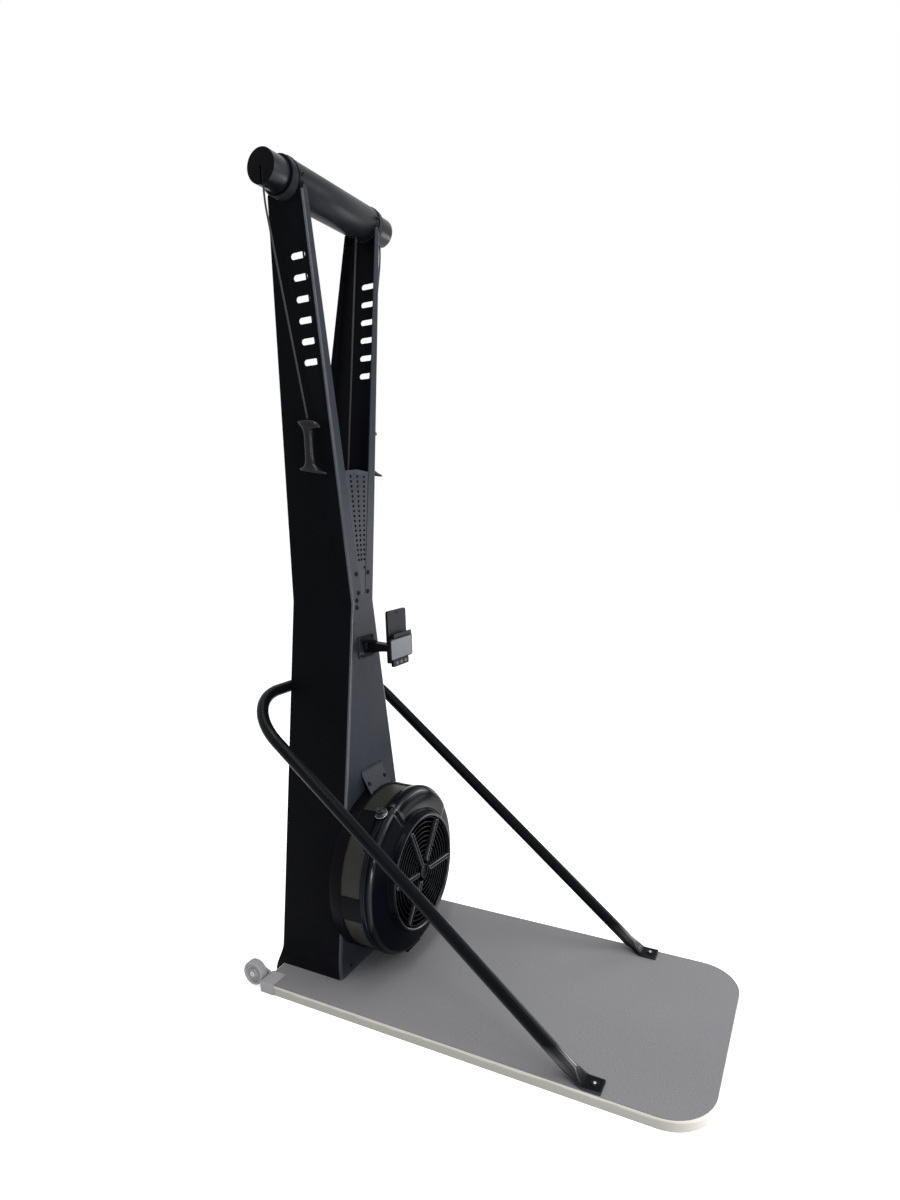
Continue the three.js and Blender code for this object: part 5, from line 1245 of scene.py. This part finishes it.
def grille_bar(name, angle, start):
    """A bar along a radius, with a recess sunk into its front."""
    end, half = grille_seat - ring_width / 2, bar_width / 2
    front = grille_back - bar_rise
    along = Vector((math.cos(math.radians(angle)), 0, math.sin(math.radians(angle))))
    across = Vector((-along.z, 0, along.x))
    bm = bmesh.new()
    rings = []
    for inset, place in ((0, grille_back), (0, front + 0.001), (0.0006, front + 0.0002),
                         (0.0012, front), (0.0022, front), (0.0028, front + 0.0018)):
        radius, near, far = half - inset, start + inset, end - inset
        pill = corner_arc((far - radius, 0), radius, -90, 90, 8)
        pill += corner_arc((near + radius, 0), radius, 90, 270, 8)
        rings.append([bm.verts.new(
            fan_origin + along * u + across * v + Vector((0, place, 0))) for u, v in pill])
    skin(bm, rings, capped=True)
    return mesh_object(name, bm)


ring_gloss = surface("grille_moulding", (0.0010, 0.0013, 0.0022), (0.0022, 0.0027, 0.0044), 0.24,
                     grain_scale=700, specular=0.02, edge_shine=0.14)
# The bars' lighter edges are a painted highlight.
bar_gloss = surface("grille_bar_moulding", (0.0012, 0.0016, 0.0030), (0.0026, 0.0032, 0.0055),
                    0.2, grain_scale=700, specular=0.03, edge_shine=1.0, edge_wear_and_highlight=(0.05, 0.055, 0.07))
fit(soften(grille_rings(), 0.0002, 1, 60), ring_gloss, "frame", "gloss_moulding", "fan_grille")
for index, angle in enumerate((*bar_angles, hub_bar_angle), start=1):
    start = hub_size - 0.004 if angle == hub_bar_angle else hub_size + bar_gap
    bar = grille_bar(f"grille_bar_{index}", angle, start)
    fit(soften(bar, 0.0002, 1, 40), bar_gloss, "frame", "gloss_moulding")

# Fan brackets
# A folded plate under two screws leans over the top of the fan, and a plain angle carries it from
# below.
dressed("fan_upper_bracket", slate_painted_light_coat, "slate_paint", 0.0008, 3)
dressed("fan_lower_bracket", black_coat, "black_paint", 0.0008, 3)
lean_foot, lean_top = Vector((0, 0.361, 0.508)), Vector((0, 0.3917, 0.562))
lean_run = (lean_top - lean_foot).normalized()
lean_out = Vector((0, -lean_run.z, lean_run.y))
lean_place = lean_foot + lean_run * 0.032 + lean_out * 0.0005
screws("fan_bracket_screws", [lean_place + Vector((x, 0, 0)) for x in (-0.040, 0.040)],
       lean_out, 0.006)

# Monitor
# A bracket plate with two ears holds a short arm. The console tilts on its end: a display with a
# grey film, a keypad below it, and a tall pad with a ledge that a phone leans on.
film_grey = surface("display_film", (0.075, 0.083, 0.098), (0.105, 0.113, 0.130), 0.3,
                    grain_scale=900, bump=0.000005, roughness_spread=0.05, specular=0.15)
pad_rubber = surface("pad_rubber", (0.012, 0.0125, 0.015), (0.020, 0.0205, 0.024), 0.6,
                     grain_scale=900, bump=0.0001, specular=0.08)
key_grey = surface("key_grey", (0.03, 0.03, 0.034), (0.16, 0.16, 0.17), 0.5, grain_scale=420,
                   grain_share=0.8, bump=0.0001, specular=0.2)
display_front, display_low, display_high = 0.2757, 0.899, 0.961
film_half, film_corner, film_thickness = 0.0535, 0.005, 0.0004
mount_face, pad_face = 0.391, 0.2875
key_pitch, key_front, key_height = 0.022, 0.2777, 0.8892
# Radius, and place behind the middle of the key's front edge
key_outline = [(0, 0.0032), (0.0041, 0.0032), (0.005, 0.0022), (0.005, 0.0004),
               (0.0042, -0.0001), (0.002, -0.0004), (0, -0.0005)]

# The plate takes the slate coat, painted light as on the front plate; its ears keep the black coat.
mount = dressed("monitor_bracket", slate_painted_light_coat, "slate_paint", 0.0006)
ears_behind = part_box("monitor_bracket")[1].y - sheet_thickness - 0.001
second_finish(mount, black_coat, lambda face: face.center.y < ears_behind)
dressed("monitor_arm", black_moulding, "black_moulding", 0.0012, 3, "monitor_arm")


def console_shell(node, width, front_reach):
    """A console piece in rubber, with the black of the shell on all but its front face."""
    piece = dressed(node, pad_rubber, "black_moulding", width, 3, "console")
    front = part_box(node)[0].y + front_reach
    second_finish(piece, black_moulding,
                  lambda face: face.normal.y >= -0.9 or face.center.y >= front)


console_shell("console_back", 0.0012, 0.02)
dressed("console_housing", black_moulding, "black_moulding", 0.0008, 3, "console")
console_shell("console_keypad", 0.0008, 0.002)
film = prism("display_film", [(x, display_front - film_thickness, z) for x, z in rounded_outline(
    film_half, display_low + 0.0035, display_high - 0.0055, film_corner, film_corner)],
    (0, film_thickness, 0))
fit(soften(film, 0.00015, 2), film_grey, "console", "screen", "console_screen")
for index in (1, 2, 3):
    key = turned(f"key_{index}", key_outline, "Y",
                 ((index - 2) * key_pitch, key_front, key_height), 40)
    fit(key, key_grey, f"button_{index}", "grey_moulding", f"console_button_{index}")
screws("monitor_screws", [(x, mount_face, z) for x in (-0.030, 0.030) for z in (0.903, 0.949)],
       (0, -1, 0), 0.0045)
screws("pad_screw", [(0, pad_face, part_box("console_back")[1].z - 0.008)], (0, -1, 0), 0.003,
       "console")

# Support hoop
# One bent steel tube behind the column. Its legs come down on both sides of the fan and end in
# flattened feet, each held to the board by a screw.
hoop_radius, hoop_half, hoop_bend = 0.016, 0.270, 0.148
hoop_cross_z, hoop_leg_z = 0.808, 0.054
hoop_cross_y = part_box("support_hoop")[1].y - hoop_radius * 0.97
hoop_leg_y = column_front - 0.685
hoop_foot_front, hoop_foot_rear = column_front - 0.761, column_front - 0.722
hoop_foot_half, hoop_foot_thickness = 0.023, 0.007

hoop_coat = surface("hoop_powder_coat", (0.0018, 0.0021, 0.0030), (0.0040, 0.0046, 0.0060), 0.26,
                    grain_scale=2000, bump=0.00003, specular=0.04, edge_wear_and_highlight=(0.04, 0.042, 0.05),
                    edge_shine=0.4, coat_roughness=0.2)
# The flattened ends of the legs shine where the tube was pressed
polish_span(hoop_coat, low=0.041, high=0.102, fade=0.028, share=1)


def hoop_ring(bm, place, heading, lift, half_across, half_up, power, sides=32):
    """A ring of the tube, from a flat oblong at a low power to a round at one."""
    across = heading.cross(lift).normalized()
    ring = []
    for angle in even_angles(sides):
        c, s = math.cos(angle), math.sin(angle)
        ring.append(bm.verts.new(
            place + across * half_across * math.copysign(abs(c) ** power, c)
            + lift * half_up * math.copysign(abs(s) ** power, s)))
    return ring


def hoop_shape():
    """The tube from foot to foot, with its legs and cross run in one leaning plane."""
    legs, tops = [[Vector((hand * hoop_half, y, z)) for hand in (-1, 1)]
                  for y, z in ((hoop_leg_y, hoop_leg_z), (hoop_cross_y, hoop_cross_z))]
    stations = route_stations([legs[0], tops[0], tops[1], legs[1]], [hoop_bend, hoop_bend], 24)
    lean = math.atan2(hoop_cross_z - hoop_leg_z, hoop_cross_y - hoop_leg_y)
    half_plate = hoop_foot_thickness / 2
    plate_z = board_top + half_plate
    bm = bmesh.new()

    def foot(hand):
        rings = []
        for y, inset in ((hoop_foot_front, 0.0015), (hoop_foot_front + 0.0015, 0),
                         (hoop_foot_rear, 0)):
            rings.append(hoop_ring(bm, Vector((hand * hoop_half, y, plate_z)),
                                   Vector((0, -hand, 0)), Vector((0, 0, 1)),
                                   hoop_foot_half - inset, half_plate - inset / 2, 0.3))
        for step in range(1, 6):
            share = step / 6
            smooth = share * share * (3 - 2 * share)
            y = hoop_foot_rear + (hoop_leg_y - hoop_foot_rear) * share
            z = plate_z + (hoop_leg_z - plate_z) * (0.35 * share + 0.65 * smooth)
            tilt = lean * smooth
            rings.append(hoop_ring(
                bm, Vector((hand * hoop_half, y, z)),
                Vector((0, -hand * math.cos(tilt), -hand * math.sin(tilt))),
                Vector((0, -math.sin(tilt), math.cos(tilt))),
                hoop_foot_half + (hoop_radius - hoop_foot_half) * smooth,
                half_plate + (hoop_radius - half_plate) * share, 0.3 + 0.7 * smooth))
        return rings

    plane_up = Vector((0, -math.sin(lean), math.cos(lean)))
    middle = [hoop_ring(bm, place, heading, plane_up, hoop_radius, hoop_radius, 1)
              for place, heading in stations]
    skin(bm, [*foot(-1), *middle, *foot(1)[::-1]], capped=True)
    return mesh_object("hoop_tube", bm)


fit(soften(hoop_shape(), 0.0004, 2, 60), hoop_coat, "frame", "black_paint", "support_hoop")
dressed("hoop_clamp", black_coat, "black_paint", 0.0006)
foot_top = board_top + hoop_foot_thickness
foot_screw_y = (hoop_foot_front + hoop_foot_rear) / 2
washer_radius, washer_thickness = 0.0095, 0.0013
for side, hand in hands.items():
    washer = turned(f"foot_washer_{side}", [
        (0, -0.0004), (washer_radius, -0.0004), (washer_radius, 0.0008),
        (washer_radius - 0.0007, washer_thickness), (0, washer_thickness),
    ], "Z", (hand * hoop_half, foot_screw_y, foot_top), 40)
    fit(washer, screw_black, "frame", "zinc")
    screws(f"foot_screw_{side}", [(hand * hoop_half, foot_screw_y, foot_top + washer_thickness)],
           (0, 0, 1), 0.0038, material=zinc_plate)
clamp_low, clamp_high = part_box("hoop_clamp")
screws("clamp_screws", [(0, clamp_low.y + sheet_thickness, z)
                        for z in (clamp_low.z + 0.012, clamp_high.z - 0.012)], (0, 1, 0), 0.006)

# Floor, backdrop and light
# A pale floor in a low even light. Softboxes stand at the front right, overhead and low on the
# right; a strip at the front left and one above draw the highlights. The backdrop is white.
floor_reach, floor_glow = 60, 0.72
world_level = 0.45


def seen_directly(tree):
    """One for a ray from the camera, or one that comes by way of gloss or glass."""
    path = add_node(tree, "LightPath").outputs
    gloss_or_glass = math_node(tree, "MAXIMUM", path["Is Glossy Ray"],
                               path["Is Transmission Ray"])
    return math_node(tree, "MAXIMUM", path["Is Camera Ray"], gloss_or_glass)


floor_mesh = bmesh.new()
floor_mesh.faces.new([floor_mesh.verts.new((x * floor_reach, y * floor_reach, 0))
                      for x, y in ((-1, -1), (1, -1), (1, 1), (-1, 1))])
floor = mesh_object("floor", floor_mesh)
floor_paper = bpy.data.materials.new("pale_floor")
floor_tree, floor_shader = finish_nodes(floor_paper)
feed(floor_tree, floor_shader, {
    "Base Color": (0.80, 0.80, 0.80), "Roughness": 0.9, "Specular IOR Level": 0.1,
    "Emission Color": (1, 1, 1),
    "Emission Strength": math_node(floor_tree, "MULTIPLY", seen_directly(floor_tree), floor_glow),
})
floor.data.materials.append(floor_paper)

world = bpy.data.worlds.new("studio")
world.use_nodes = True
world_tree = world.node_tree
white_share = math_node(world_tree, "MULTIPLY", seen_directly(world_tree), 1 - world_level)
feed(world_tree, world_tree.nodes["Background"], {
    "Color": (1, 1, 1), "Strength": math_node(world_tree, "ADD", white_share, world_level)})
bpy.context.scene.world = world


def softbox(name, place, target, width, height, power):
    """A rectangular lamp at a place, turned towards its target."""
    data = bpy.data.lights.new(name, "AREA")
    data.shape = "RECTANGLE"
    data.size, data.size_y = width, height
    data.energy = power
    lamp = bpy.data.objects.new(name, data)
    bpy.context.scene.collection.objects.link(lamp)
    lamp.location = place
    lamp.rotation_euler = (Vector(target) - Vector(place)).to_track_quat("-Z", "Y").to_euler()


softbox("key_front_right", (1.5, -3.7, 2.5), (0, 0, 0.6), 2.2, 2.2, 75)
softbox("overhead", (0, 0, 4.6), (0, 0, 0), 3.2, 3.2, 75)
softbox("sheen_low_right", (3.4, -1.7, 0.9), (0, 0.35, 0.8), 1.6, 1.2, 42)
softbox("strip_front_left", (-2.3, -3.6, 1.2), (0, 0.2, 0.5), 0.8, 2.4, 85)
softbox("strip_above", (-1.4, -0.6, 4.2), (0, -0.1, 0.6), 0.2, 2.6, 40)
bpy.context.scene.view_settings.view_transform = "Standard"
